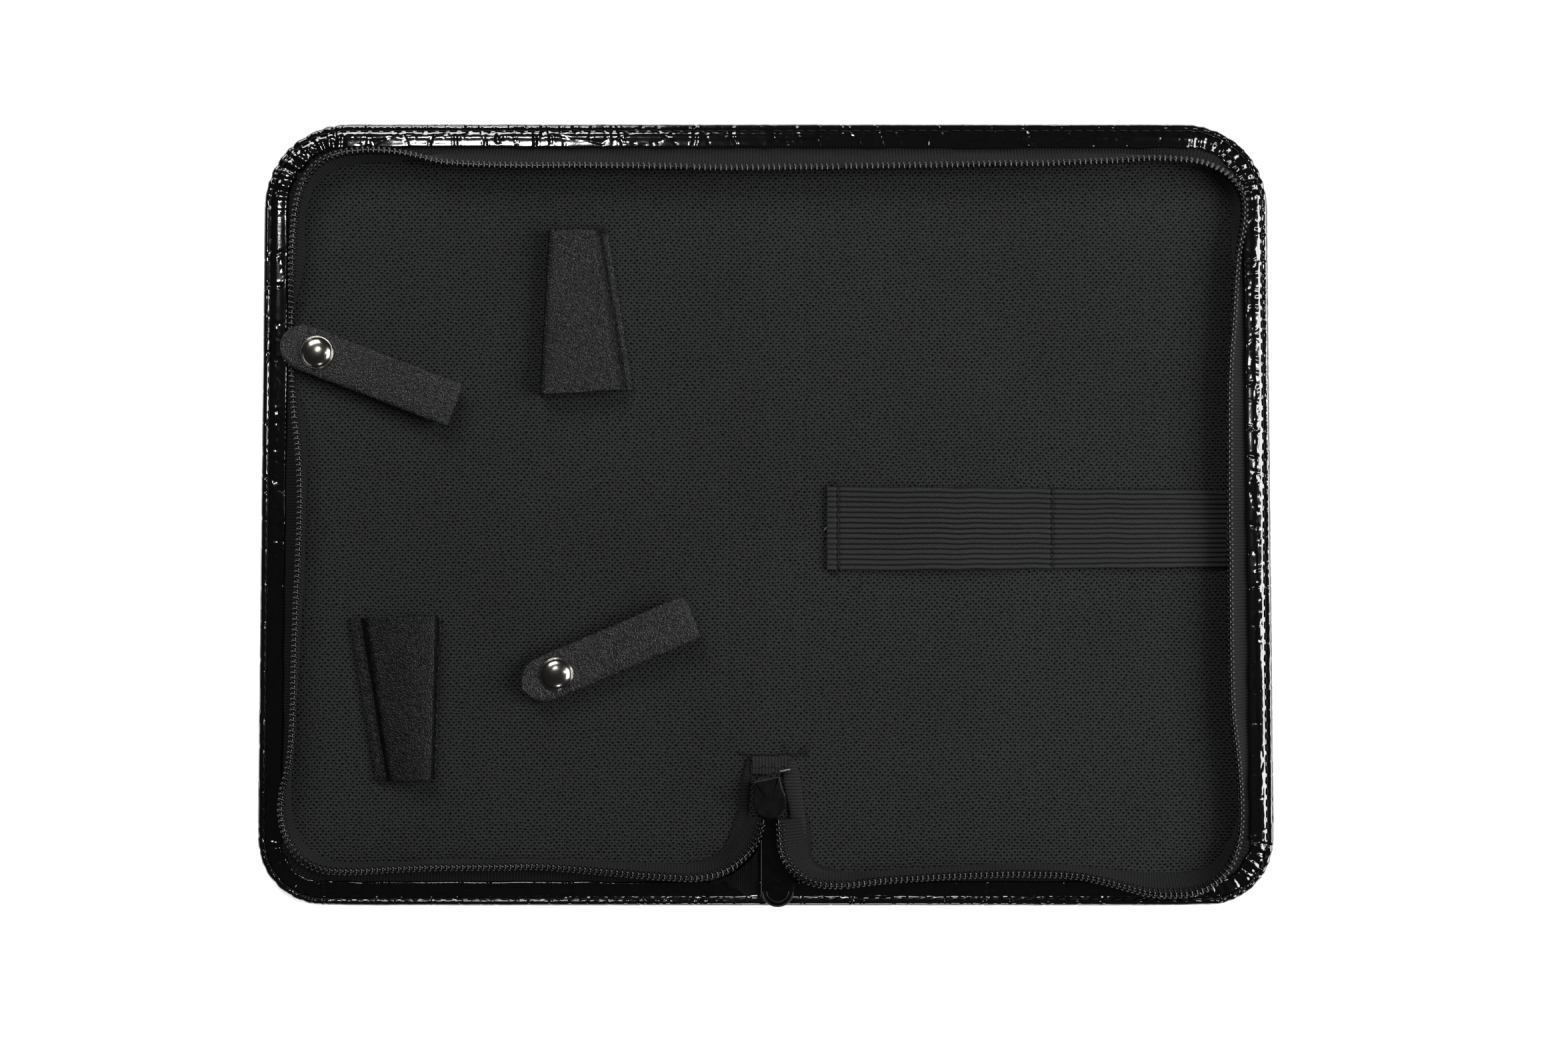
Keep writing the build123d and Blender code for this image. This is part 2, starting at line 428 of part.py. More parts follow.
bail = prism_xy([(sx - 1.1, -95.0), (sx + 1.1, -95.0), (sx + 1.1, -85.6), (sx - 1.1, -85.6)], 4.0, 4.7)
bail = bail + prism_xy([(sx - 1.1, -95.0), (sx + 1.1, -95.0), (sx + 1.1, -94.1), (sx - 1.1, -94.1)], 4.7, 6.0)
bail = bail + prism_xy([(sx - 1.1, -86.5), (sx + 1.1, -86.5), (sx + 1.1, -85.6), (sx - 1.1, -85.6)], 4.7, 6.0)
save("slider_bail", bail)

# Paddle pull: eye round the bail, straight sides, round end.
pts = []
for k in range(0, 25):
    t = math.pi + math.pi * k / 24
    pts.append((PULL_X + 5.15 * math.cos(t), PULL_END + 5.15 + 5.15 * math.sin(t)))
pts += [(PULL_X + 5.0, -108.5), (5.4, -103.0), (4.8, -99.5), (4.0, PULL_Y + 0.5),
        (-1.7, PULL_Y + 0.5), (-2.0, -99.5), (PULL_X - 5.3, -103.0)]
pull = prism_xy(pts, PULL_Z - PULL_T / 2, PULL_Z + PULL_T / 2)
eye = prism_xy([(sx - 1.5, PULL_Y - 0.5), (sx + 1.5, PULL_Y - 0.5), (sx + 1.5, -97.2), (sx - 1.5, -97.2)], 3, 8)
pull = pull - eye
pull = pull.rotate(Axis((1.05, PULL_Y, PULL_Z), (-1, 0, 0)), 2.5)
save("pull_tab", pull)

# ---------------------------------------------------------------- tip pockets
def pocket(left_tip, right_tip, left_mouth, right_mouth):
    """Domed leather sleeve with a sewn flange each side, narrow at the tip."""
    out = []
    for t in (0.0, 0.33, 0.67, 1.0):
        lx = left_tip[0] + (left_mouth[0] - left_tip[0]) * t
        ly = left_tip[1] + (left_mouth[1] - left_tip[1]) * t
        rx = right_tip[0] + (right_mouth[0] - right_tip[0]) * t
        ry = right_tip[1] + (right_mouth[1] - right_tip[1]) * t
        w = math.hypot(rx - lx, ry - ly)
        u = ((rx - lx) / w, (ry - ly) / w)
        z0, z1 = LINING_TOP + 0.02, LINING_TOP + 1.0
        flange = 3.0
        rise = 4.2 + 0.9 * t
        sec = [(0, z0), (0, z1), (flange, z1)]
        m = 12
        for k in range(1, m):
            a = math.pi * k / m
            c, s_ = math.cos(a), math.sin(a)
            px = w / 2 - (w / 2 - flange) * math.copysign(abs(c) ** 0.7, c)
            sec.append((px, z1 + rise * s_ ** 0.75))
        sec += [(w - flange, z1), (w, z1), (w, z0), (w - flange - 1.0, z0)]
        for k in range(m - 1, 0, -1):
            a = math.pi * k / m
            c, s_ = math.cos(a), math.sin(a)
            px = w / 2 - (w / 2 - flange - 1.0) * math.copysign(abs(c) ** 0.7, c)
            sec.append((px, z0 + rise * s_ ** 0.75))
        sec.append((flange + 1.0, z0))
        out.append([(lx + u[0] * s, ly + u[1] * s, z) for s, z in sec])
    return loft(out)


save("tip_pocket_upper", pocket((-68.5, 89.0), (-49.8, 89.3), (-71.2, 37.6), (-41.8, 39.4)))
save("tip_pocket_lower", pocket((-122.2, -83.8), (-103.5, -82.6), (-130.6, -32.8), (-102.0, -31.6)))

# ---------------------------------------------------------------- straps and snaps
def disc(r, z0, z1):
    return Pos(0, 0, z0) * Cylinder(r, z1 - z0, align=(Align.CENTER, Align.CENTER, Align.MIN))


def strap_plan(end_r, centre):
    """Plan of a strap layer: rounded end to -x, straight sides, square at the fold."""
    pts = []
    for k in range(0, 25):
        t = math.pi / 2 + math.pi * k / 24
        pts.append((centre + end_r * math.cos(t), STRAP_HALF * math.sin(t)))
    pts += [(FOLD_R - 0.3, -STRAP_HALF), (FOLD_R - 0.3, STRAP_HALF)]
    return prism_xy(pts, 0, 20)


for number in STRAPS:
    px, py, angle = STRAPS[number]
    place = Pos(px, py, 0) * Rot(0, 0, angle)
    up = (FOLD_R - 12.0) * LIFT
    low = prism_xz([(-20, STRAP_LOW), (12, STRAP_LOW), (FOLD_R, STRAP_LOW + up),
                    (FOLD_R, STRAP_LOW + LEATHER + up), (12, STRAP_LOW + LEATHER), (-20, STRAP_LOW + LEATHER)],
                   -10, 10) & strap_plan(7.0, 0.0)
    low = low - disc(1.7, 3, 6)
    save("strap_%d_base" % number, place * low)
    tip = 1.9
    flap = prism_xz([(-TIP_R, FLAP_LOW + tip), (-5.3, FLAP_LOW), (12, FLAP_LOW), (FOLD_R, FLAP_LOW + up),
                     (FOLD_R, FLAP_LOW + LEATHER + up), (12, FLAP_LOW + LEATHER),
                     (-5.3, FLAP_LOW + LEATHER), (-TIP_R, FLAP_LOW + LEATHER + tip)],
                    -10, 10) & strap_plan(STRAP_HALF, STRAP_HALF - TIP_R)
    flap = flap - disc(1.6, 6, 9)
    save("strap_%d_flap_leather" % number, place * flap)
    # Post under the board, stud on the lower layer, socket and domed cap on the flap.
    save("snap_post_%d" % number, place * (disc(4.5, SKIN, 1.5) + disc(1.6, 1.5, 5.5)))
    stud = (disc(4.5, 5.06, 5.5) + disc(2.4, 5.5, 6.45)) - disc(1.62, 5.0, 5.52)
    save("snap_stud_%d" % number, place * stud)
    socket = disc(4.6, 5.6, 6.85) - disc(2.75, 5.5, 6.6) - disc(1.55, 6.5, 6.9)
    save("snap_socket_%d" % number, place * socket)
    cap_r, cap_h = 5.15, 2.1
    ball = (cap_r ** 2 + cap_h ** 2) / (2 * cap_h)
    dome = (Pos(0, 0, 8.3 + cap_h - ball) * Sphere(ball)) & disc(cap_r, 8.3, 11.0)
    cap = dome + disc(cap_r, 8.12, 8.3) + disc(1.5, 6.6, 8.2)
    save("snap_cap_%d" % number, place * cap)

# ---------------------------------------------------------------- elastic band
def band(x0, x1, n, slack):
    out = []
    for i in range(n + 1):
        x = x0 + (x1 - x0) * i / n
        t = (x - 19.3) / (148.3 - 19.3)
        ya, yb = 8.9 - 1.2 * t, -17.5 + 1.0 * t
        z = LINING_TOP + 0.05 + slack * math.sin(math.pi * i / n) ** 2
        out.append([(x, ya, z), (x, yb, z), (x, yb, z + 1.2), (x, ya, z + 1.2)])
    return out


secs = band(19.3, 22.7, 1, 0.0)[:1] + band(22.7, 89.9, 10, 1.3) + band(89.9, 148.3, 8, 0.5)[1:]
save("elastic_band", loft(secs))
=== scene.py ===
"""A zipped shears case lying open flat, inside up, seen from straight above."""

import math

import bpy
import numpy as np
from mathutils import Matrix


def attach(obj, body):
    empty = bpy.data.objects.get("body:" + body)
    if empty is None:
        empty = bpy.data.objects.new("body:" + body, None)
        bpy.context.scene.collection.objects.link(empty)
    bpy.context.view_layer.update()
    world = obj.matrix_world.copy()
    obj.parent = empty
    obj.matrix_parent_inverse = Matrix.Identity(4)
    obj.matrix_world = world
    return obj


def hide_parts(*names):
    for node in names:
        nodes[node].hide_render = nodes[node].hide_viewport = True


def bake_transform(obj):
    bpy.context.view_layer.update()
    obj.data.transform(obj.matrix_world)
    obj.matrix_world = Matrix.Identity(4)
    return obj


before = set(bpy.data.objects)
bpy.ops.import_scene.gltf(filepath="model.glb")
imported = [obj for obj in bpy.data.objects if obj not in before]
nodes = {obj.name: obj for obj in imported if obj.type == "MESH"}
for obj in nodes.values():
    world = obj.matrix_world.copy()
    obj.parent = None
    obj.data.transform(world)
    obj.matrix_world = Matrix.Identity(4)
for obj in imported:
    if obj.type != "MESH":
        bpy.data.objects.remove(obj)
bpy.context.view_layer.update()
rng = np.random.default_rng(11)

# ------------------------------------------------------------ dimensions, mm
TOP_HALF_WIDTH = 157.7
BOTTOM_HALF_WIDTH = 160.4
HALF_HEIGHT = 123.2
TOP_CORNER_R = 26.0
BOTTOM_CORNER_R = 21.0
LINING_TOP = 3.6
WALL_TOP = 10.45
DIP_TOP = 4.9
STRAP_HALF = 7.25
STRAPS = {1: (-140.5, 50.8, -21.0), 2: (-65.5, -49.9, 23.0)}
SLIDER = (1.05, -88.5)

# Zip stations: outer edge of the sewn flange, foot of the standing tape and
# top of the standing tape, as x, y pairs.
LEFT_PATH = [
    (-24.7, 118.0, -24.8, 113.8, -25.0, 108.4), (-31.4, 118.0, -31.5, 113.8, -31.7, 108.5),
    (-38.4, 118.0, -38.5, 113.8, -38.6, 108.7), (-49.3, 118.0, -49.3, 113.8, -49.4, 108.8),
    (-56.6, 118.0, -56.6, 113.8, -56.6, 108.9), (-64.1, 118.0, -64.1, 113.8, -64.1, 108.9),
    (-71.8, 118.0, -71.8, 113.8, -71.8, 108.8), (-79.4, 118.0, -79.5, 113.8, -79.5, 108.9),
    (-85.4, 118.0, -85.6, 113.8, -85.7, 109.0), (-90.5, 118.0, -90.8, 113.8, -91.0, 109.2),
    (-97.3, 118.0, -97.7, 113.8, -98.1, 109.7), (-100.4, 118.0, -101.2, 113.5, -101.7, 110.1),
    (-108.5, 118.0, -109.7, 112.1, -109.8, 112.1), (-115.4, 118.0, -116.3, 111.2, -116.0, 113.2),
    (-120.1, 118.0, -120.4, 110.8, -120.3, 113.6), (-124.6, 118.0, -124.5, 110.7, -124.5, 113.7),
    (-128.8, 118.0, -128.2, 110.3, -128.4, 113.4), (-132.2, 118.0, -130.7, 109.8, -131.3, 113.1),
    (-135.5, 117.7, -132.9, 109.2, -133.9, 112.4), (-138.7, 116.9, -135.0, 108.5, -136.3, 111.5),
    (-141.7, 115.6, -136.6, 107.6, -138.4, 110.4), (-144.3, 113.9, -138.0, 106.8, -140.1, 109.1),
    (-146.8, 111.8, -139.5, 105.7, -141.7, 107.5), (-149.1, 109.1, -141.0, 104.1, -143.2, 105.5),
    (-150.7, 106.3, -142.3, 102.4, -144.3, 103.4), (-151.9, 103.2, -143.3, 100.4, -145.2, 101.0),
    (-152.7, 99.0, -144.3, 97.4, -146.1, 97.7), (-152.8, 95.8, -144.8, 94.7, -146.6, 95.0),
    (-152.9, 90.3, -145.1, 89.7, -147.1, 89.9), (-153.0, 79.5, -145.1, 79.0, -147.8, 79.2),
    (-153.0, 74.3, -146.1, 73.8, -148.1, 73.9), (-153.1, 64.0, -148.7, 63.8, -148.9, 63.8),
    (-153.2, 59.6, -149.0, 59.5, -149.0, 59.5), (-153.3, 52.8, -149.0, 52.8, -149.0, 52.8),
    (-153.4, 43.9, -148.6, 44.1, -148.9, 44.1), (-153.4, 38.0, -147.4, 38.9, -148.3, 38.8),
    (-153.5, 28.9, -145.3, 30.0, -146.7, 29.8), (-153.6, 21.0, -144.6, 21.8, -145.8, 21.7),
    (-153.7, 11.3, -144.6, 11.6, -145.2, 11.6), (-153.8, 1.8, -144.7, 1.7, -145.1, 1.7),
    (-153.9, -4.2, -144.9, -4.6, -145.3, -4.5), (-154.0, -11.8, -145.2, -12.2, -145.6, -12.1),
    (-154.1, -22.4, -145.6, -22.8, -146.1, -22.8), (-154.2, -28.2, -145.9, -28.5, -146.4, -28.5),
    (-154.2, -34.8, -146.3, -35.1, -146.6, -35.0), (-154.3, -43.4, -146.7, -43.6, -146.9, -43.6),
    (-154.4, -52.8, -147.3, -53.0, -147.1, -53.0), (-154.5, -61.4, -147.8, -61.6, -147.3, -61.7),
    (-154.6, -67.7, -148.2, -68.0, -147.6, -68.1), (-154.7, -78.0, -149.1, -78.8, -148.8, -78.8),
    (-154.7, -79.9, -149.3, -81.1, -149.3, -81.1), (-154.8, -85.6, -149.4, -86.6, -150.6, -86.4),
    (-154.8, -89.1, -149.3, -89.7, -151.0, -89.5), (-154.9, -92.0, -149.2, -92.0, -151.2, -92.0),
    (-154.9, -96.3, -148.6, -95.2, -150.8, -95.6), (-155.0, -101.1, -147.7, -98.6, -149.9, -99.4),
    (-154.5, -106.0, -146.3, -101.5, -148.4, -102.7), (-152.6, -110.6, -144.2, -104.1, -146.4, -105.8),
    (-150.0, -113.7, -142.8, -105.4, -144.8, -107.6), (-146.6, -116.1, -141.4, -106.4, -142.8, -109.0),
    (-142.3, -117.7, -139.0, -107.8, -139.9, -110.2), (-137.9, -118.0, -136.4, -108.7, -136.8, -111.0),
    (-134.5, -118.0, -134.0, -109.1, -134.2, -111.2), (-130.0, -118.0, -130.2, -109.5, -130.2, -111.3),
    (-119.0, -118.0, -119.5, -109.6, -119.4, -110.7), (-108.3, -118.0, -108.6, -109.0, -108.5, -110.2),
    (-100.7, -118.0, -100.8, -108.7, -100.8, -110.0), (-95.9, -118.0, -96.0, -108.6, -96.0, -110.0),
    (-89.4, -118.0, -89.5, -108.4, -89.5, -109.9), (-79.3, -118.0, -79.7, -108.2, -79.6, -109.8),
    (-73.6, -118.0, -73.3, -108.2, -73.4, -109.6), (-65.5, -118.0, -64.8, -108.4, -64.9, -110.1),
    (-57.6, -118.0, -56.7, -108.7, -56.9, -110.8), (-49.3, -118.0, -48.5, -109.1, -48.7, -111.5),
    (-40.9, -118.0, -40.2, -109.4, -40.4, -112.3), (-33.3, -118.0, -32.7, -109.6, -32.9, -112.9),
    (-24.1, -118.0, -24.3, -109.7, -24.2, -113.4),
]
SPINE_TOP_PATH = [
    (23.1, 118.0, 23.2, 113.8, 23.2, 108.4), (11.9, 118.0, 11.9, 113.8, 12.0, 108.3),
    (1.5, 118.0, 1.5, 113.8, 1.6, 108.2), (-9.0, 118.0, -9.0, 113.8, -9.0, 108.1),
    (-14.9, 118.0, -15.0, 113.8, -15.1, 108.1), (-23.2, 118.0, -23.3, 113.8, -23.4, 108.3),
]
GUSSET_LEFT_PATH = [
    (-23.5, -108.4, -23.5, -109.7, -23.4, -113.4), (-19.4, -107.9, -19.2, -109.2, -18.6, -112.9),
    (-16.3, -106.9, -15.9, -108.2, -14.6, -112.0), (-14.1, -105.6, -13.5, -106.8, -11.4, -110.6),
    (-12.3, -103.3, -11.5, -104.3, -8.2, -108.4), (-11.0, -100.6, -10.0, -101.4, -5.3, -105.7),
    (-10.4, -98.8, -9.2, -99.5, -3.2, -102.9), (-9.8, -96.9, -8.6, -97.3, -1.8, -99.6),
    (-9.0, -94.2, -7.7, -94.4, -0.8, -95.5),
]
RIGHT_PATH = [
    (24.6, 118.0, 24.6, 113.8, 24.7, 108.5), (30.8, 118.0, 30.9, 113.8, 30.9, 108.6),
    (38.1, 118.0, 38.2, 113.8, 38.3, 108.7), (44.6, 118.0, 44.6, 113.8, 44.7, 108.8),
    (51.3, 118.0, 51.4, 113.8, 51.5, 108.9), (57.0, 118.0, 57.1, 113.8, 57.2, 109.0),
    (62.4, 118.0, 62.5, 113.8, 62.6, 109.1), (72.4, 118.0, 72.4, 113.8, 72.5, 109.4),
    (79.9, 118.0, 79.9, 113.8, 79.8, 109.4), (86.8, 118.0, 86.9, 113.8, 87.0, 109.4),
    (93.0, 118.0, 93.2, 113.8, 93.4, 109.7), (99.2, 118.0, 99.4, 113.8, 99.6, 110.0),
    (108.4, 118.0, 108.7, 113.8, 108.9, 110.3), (119.1, 118.0, 119.2, 112.7, 119.3, 111.1),
    (125.7, 118.0, 125.4, 111.6, 125.4, 111.0), (131.4, 118.0, 130.7, 110.6, 130.7, 110.6),
    (136.2, 117.6, 134.5, 109.5, 134.6, 110.1), (140.6, 116.2, 137.8, 108.2, 138.1, 109.1),
    (144.5, 113.8, 140.6, 106.5, 141.2, 107.7), (147.7, 110.8, 142.8, 104.7, 143.9, 106.0),
    (150.2, 107.3, 144.5, 102.4, 146.1, 103.8), (151.8, 103.4, 145.5, 100.0, 147.9, 101.3),
    (152.7, 99.3, 146.1, 97.7, 149.0, 98.4), (152.8, 95.8, 146.3, 95.8, 149.3, 95.8),
    (152.9, 89.5, 146.5, 90.3, 148.9, 90.0), (153.0, 81.5, 146.8, 82.5, 147.4, 82.4),
    (153.0, 73.7, 147.9, 74.1, 146.6, 74.3), (153.1, 66.4, 148.9, 66.6, 146.1, 66.8),
    (153.2, 56.7, 149.0, 57.0, 145.5, 57.3), (153.3, 48.3, 149.1, 48.6, 144.8, 48.9),
    (153.4, 40.8, 149.2, 40.8, 144.5, 40.9), (153.5, 34.7, 149.3, 34.7, 144.4, 34.7),
    (153.6, 24.5, 149.4, 24.5, 144.4, 24.5), (153.7, 16.8, 149.5, 16.8, 144.4, 16.8),
    (153.8, 7.7, 149.6, 7.7, 144.4, 7.7), (153.9, -0.6, 149.7, -0.6, 144.4, -0.7),
    (153.9, -6.9, 149.7, -7.0, 144.5, -7.0), (154.0, -15.6, 149.8, -15.6, 144.6, -15.7),
    (154.1, -23.9, 149.9, -23.9, 144.6, -24.0), (154.2, -32.8, 150.0, -32.8, 144.7, -32.9),
    (154.3, -41.7, 150.1, -41.8, 144.8, -41.8), (154.4, -47.5, 150.2, -47.6, 144.9, -47.7),
    (154.4, -52.6, 150.2, -52.7, 145.0, -52.8), (154.5, -62.3, 150.3, -62.7, 145.5, -63.1),
    (154.6, -72.9, 150.5, -73.4, 146.8, -73.8), (154.7, -81.6, 150.3, -82.0, 147.6, -82.2),
    (154.9, -93.0, 148.9, -93.0, 148.1, -93.0), (154.9, -99.1, 147.4, -98.5, 147.9, -98.5),
    (154.9, -104.1, 145.8, -102.2, 147.3, -102.5), (153.4, -109.0, 143.9, -105.4, 146.2, -106.3),
    (150.6, -113.1, 141.8, -108.0, 144.7, -109.6), (147.8, -115.4, 140.1, -109.4, 143.2, -111.8),
    (144.7, -117.0, 138.4, -110.4, 141.5, -113.7), (141.4, -117.8, 136.7, -111.1, 139.6, -115.2),
    (138.3, -118.0, 135.0, -111.6, 137.5, -116.5), (135.6, -118.0, 133.5, -111.9, 135.4, -117.4),
    (131.2, -118.0, 130.5, -112.2, 131.2, -118.3), (127.7, -118.0, 127.4, -112.3, 127.7, -118.5),
    (123.0, -118.0, 123.3, -112.4, 123.0, -118.5), (119.1, -118.0, 120.2, -112.3, 119.1, -118.1),
    (113.1, -118.0, 114.9, -112.0, 113.5, -116.6), (106.0, -118.0, 107.7, -111.3, 106.9, -114.8),
    (97.6, -118.0, 98.7, -110.4, 98.3, -112.9), (92.7, -118.0, 93.2, -110.0, 93.1, -112.4),
    (85.1, -118.0, 85.3, -109.7, 85.2, -112.1), (79.4, -118.0, 79.5, -109.6, 79.5, -112.0),
    (73.2, -118.0, 72.9, -109.7, 73.0, -112.1), (65.0, -118.0, 64.6, -110.1, 64.7, -112.4),
    (55.2, -118.0, 54.8, -110.8, 54.9, -112.9), (46.8, -118.0, 46.4, -111.3, 46.5, -113.4),
    (41.0, -118.0, 40.5, -111.6, 40.7, -113.8), (36.9, -118.0, 36.4, -111.9, 36.6, -114.1),
    (30.8, -118.0, 29.9, -112.2, 30.3, -114.9), (24.5, -118.0, 24.1, -112.2, 24.3, -115.6),
]
GUSSET_RIGHT_PATH = [
    (23.3, -110.9, 23.3, -112.2, 23.5, -115.6), (20.9, -110.8, 20.9, -112.1, 20.8, -115.6),
    (18.8, -110.6, 18.7, -111.9, 18.4, -115.5), (16.0, -109.5, 15.7, -110.7, 14.5, -114.8),
    (14.4, -107.0, 13.7, -108.2, 10.8, -113.2), (14.0, -104.7, 13.1, -105.6, 7.8, -110.9),
    (14.1, -103.8, 13.0, -104.4, 6.0, -108.6), (14.2, -103.4, 12.9, -103.7, 4.8, -105.9),
    (14.0, -101.3, 12.7, -101.4, 4.3, -102.2), (13.7, -97.7, 12.4, -97.8, 4.0, -98.4),
    (13.3, -95.1, 12.0, -95.2, 3.8, -95.6),
]


# ------------------------------------------------------------ numbers to mesh
def sstep(t):
    t = np.clip(t, 0.0, 1.0)
    return t * t * (3 - 2 * t)


def hashed(i, j, seed):
    v = np.sin(i * 127.1 + j * 311.7 + seed * 74.7) * 43758.5453
    return v - np.floor(v)


def noise(x, y, seed):
    """Smooth noise from -1 to 1 on a lattice of unit cells."""
    xi, yi = np.floor(x), np.floor(y)
    fx, fy = sstep(x - xi), sstep(y - yi)
    a = hashed(xi, yi, seed) * (1 - fx) + hashed(xi + 1, yi, seed) * fx
    b = hashed(xi, yi + 1, seed) * (1 - fx) + hashed(xi + 1, yi + 1, seed) * fx
    return 2 * (a * (1 - fy) + b * fy) - 1


def scales(x, y, seed):
    """Reptile scales on unit cells: gap to the nearest border, and each scale's own random number."""
    xi, yi = np.floor(x), np.floor(y)
    f1 = np.full(np.shape(x), 9.0)
    f2 = np.full(np.shape(x), 9.0)
    own = np.zeros(np.shape(x))
    for di in (-1, 0, 1):
        for dj in (-1, 0, 1):
            ci, cj = xi + di, yi + dj
            px = ci + 0.5 + 0.6 * (hashed(ci, cj, seed) - 0.5)
            py = cj + 0.5 + 0.6 * (hashed(ci, cj, seed + 3.3) - 0.5)
            d = np.maximum(np.abs(x - px), np.abs(y - py)) * 0.55 + np.hypot(x - px, y - py) * 0.45
            nearer = d < f1
            f2 = np.where(nearer, f1, np.minimum(f2, d))
            own = np.where(nearer, hashed(ci, cj, seed + 8.1), own)
            f1 = np.where(nearer, d, f1)
    return f2 - f1, own


def grid(nu, nv, cu=False, cv=False):
    iu = np.arange(nu if cu else nu - 1)
    iv = np.arange(nv if cv else nv - 1)
    a, b = np.meshgrid(iu, iv, indexing="ij")
    a2, b2 = (a + 1) % nu, (b + 1) % nv
    return np.stack([a * nv + b, a2 * nv + b, a2 * nv + b2, a * nv + b2], -1).reshape(-1, 4)


def make(name, verts, faces, mat, attr=None, sharp=None, extra=None):
    """Mesh object from millimetre vertices. attr gives three numbers a vertex, read by the shaders as 'sa'."""
    verts = np.asarray(verts, float).reshape(-1, 3)
    me = bpy.data.meshes.new(name)
    if isinstance(faces, np.ndarray) and extra is None:
        n, k = faces.shape
        me.vertices.add(len(verts))
        me.vertices.foreach_set("co", (verts * 0.001).ravel())
        me.loops.add(n * k)
        me.loops.foreach_set("vertex_index", faces.astype(np.int32).ravel())
        me.polygons.add(n)
        me.polygons.foreach_set("loop_start", np.arange(0, n * k, k, dtype=np.int32))
    else:
        fs = [tuple(int(q) for q in f) for f in faces] + [tuple(int(q) for q in f) for f in (extra or [])]
        me.from_pydata((verts * 0.001).tolist(), [], fs)
    me.update(calc_edges=True)
    me.validate()
    me.polygons.foreach_set("use_smooth", [True] * len(me.polygons))
    if attr is not None:
        at = me.attributes.new("sa", "FLOAT_VECTOR", "POINT")
        at.data.foreach_set("vector", np.asarray(attr, float).reshape(-1, 3).ravel())
    me.materials.append(mat)
    if sharp:
        me.set_sharp_from_angle(angle=math.radians(sharp))
    ob = bpy.data.objects.new(name, me)
    bpy.context.scene.collection.objects.link(ob)
    return ob


def normals_of(P):
    n = np.cross(np.gradient(P, axis=0), np.gradient(P, axis=1))
    return n / np.maximum(np.linalg.norm(n, axis=2, keepdims=True), 1e-9)


def shell(P, t, attr=None):
    """Closed sheet of thickness t either side of the surface P. Returns verts, faces, attr."""
    nu, nv = P.shape[:2]
    n = normals_of(P)
    t = np.asarray(t, float)
    if t.ndim == 1:
        t = t[None, :, None]
    ring = np.concatenate([P + n * t / 2, (P - n * t / 2)[:, ::-1]], axis=1)
    m = 2 * nv
    f = grid(nu, m, cv=True)
    j = np.arange(nv - 1)
    caps = []
    for i, flip in ((0, True), (nu - 1, False)):
        q = np.stack([i * m + j, i * m + j + 1, i * m + m - 2 - j, i * m + m - 1 - j], -1)
        caps.append(q[:, ::-1] if flip else q)
    if attr is None:
        return ring.reshape(-1, 3), np.concatenate([f] + caps), None
    at = np.concatenate([attr, attr[:, ::-1]], axis=1)
    return ring.reshape(-1, 3), np.concatenate([f] + caps), at.reshape(-1, 3)


def tubes(paths, radii, sides=7):
    """Many round tubes in one mesh. paths is n, k, 3 and radii n, k or a number."""
    paths = np.asarray(paths, float)
    n, k = paths.shape[:2]
    radii = np.broadcast_to(np.asarray(radii, float), (n, k))
    t = np.gradient(paths, axis=1)
    t /= np.maximum(np.linalg.norm(t, axis=2, keepdims=True), 1e-9)
    up = np.zeros_like(t)
    up[..., 2] = 1.0
    side = np.cross(t, up)
    weak = np.linalg.norm(side, axis=2) < 0.1
    side[weak] = np.cross(t[weak], np.array([1.0, 0.0, 0.0]))
    side /= np.maximum(np.linalg.norm(side, axis=2, keepdims=True), 1e-9)
    over = np.cross(side, t)
    a = np.arange(sides) * 2 * math.pi / sides
    v = (paths[:, :, None] + radii[..., None, None]
         * (side[:, :, None] * np.cos(a)[:, None] + over[:, :, None] * np.sin(a)[:, None]))
    f = grid(k, sides, cv=True)
    faces = (f[None] + (np.arange(n) * k * sides)[:, None, None]).reshape(-1, 4)
    return v.reshape(-1, 3), faces


def join(parts):
    """Stacks several (verts, faces, attr) into one."""
    vs, fs, ats, at = [], [], [], 0
    for v, f, *rest in parts:
        v = np.asarray(v, float).reshape(-1, 3)
        vs.append(v)
        fs.append(np.asarray(f) + at)
        a = rest[0] if rest and rest[0] is not None else np.zeros((len(v), 3))
        ats.append(np.asarray(a, float).reshape(-1, 3))
        at += len(v)
    return np.concatenate(vs), np.concatenate(fs), np.concatenate(ats)


def prism(pts, z0, z1, b, tilt=None):
    """Plate with softened edges from a plan polygon. Returns verts, quads, fans."""
    p = np.asarray(pts, float)
    d = np.roll(p, -1, 0) - np.roll(p, 1, 0)
    d /= np.linalg.norm(d, axis=1, keepdims=True)
    area = 0.5 * np.sum(p[:, 0] * np.roll(p[:, 1], -1) - np.roll(p[:, 0], -1) * p[:, 1])
    inward = np.stack([-d[:, 1], d[:, 0]], 1) * (1 if area > 0 else -1)
    rings = [(b, z0), (0.3 * b, z0 + 0.3 * b), (0.0, z0 + b), (0.0, z1 - b), (0.12 * b, z1 - 0.55 * b),
             (0.45 * b, z1 - 0.14 * b), (b, z1), (3.2 * b, z1 + 0.01)]
    v = []
    for off, z in rings:
        q = p + inward * off
        v.append(np.column_stack([q, np.full(len(q), z)]))
    v = np.array(v)
    n, m = v.shape[:2]
    verts = v.reshape(-1, 3)
    if tilt is not None:
        verts = tilt(verts)
    quads = grid(n, m, cv=True)
    if area > 0:
        quads = quads[:, ::-1]
    lo = verts[:m].mean(0)
    hi = verts[-m:].mean(0)
    verts = np.concatenate([verts, [lo, hi]])
    k = np.arange(m)
    k2 = (k + 1) % m
    low = np.stack([np.full(m, n * m), k2, k], 1)
    high = np.stack([np.full(m, n * m + 1), (n - 1) * m + k, (n - 1) * m + k2], 1)
    if area < 0:
        low, high = low[:, ::-1], high[:, ::-1]
    return verts, quads, [tuple(r) for r in low] + [tuple(r) for r in high]


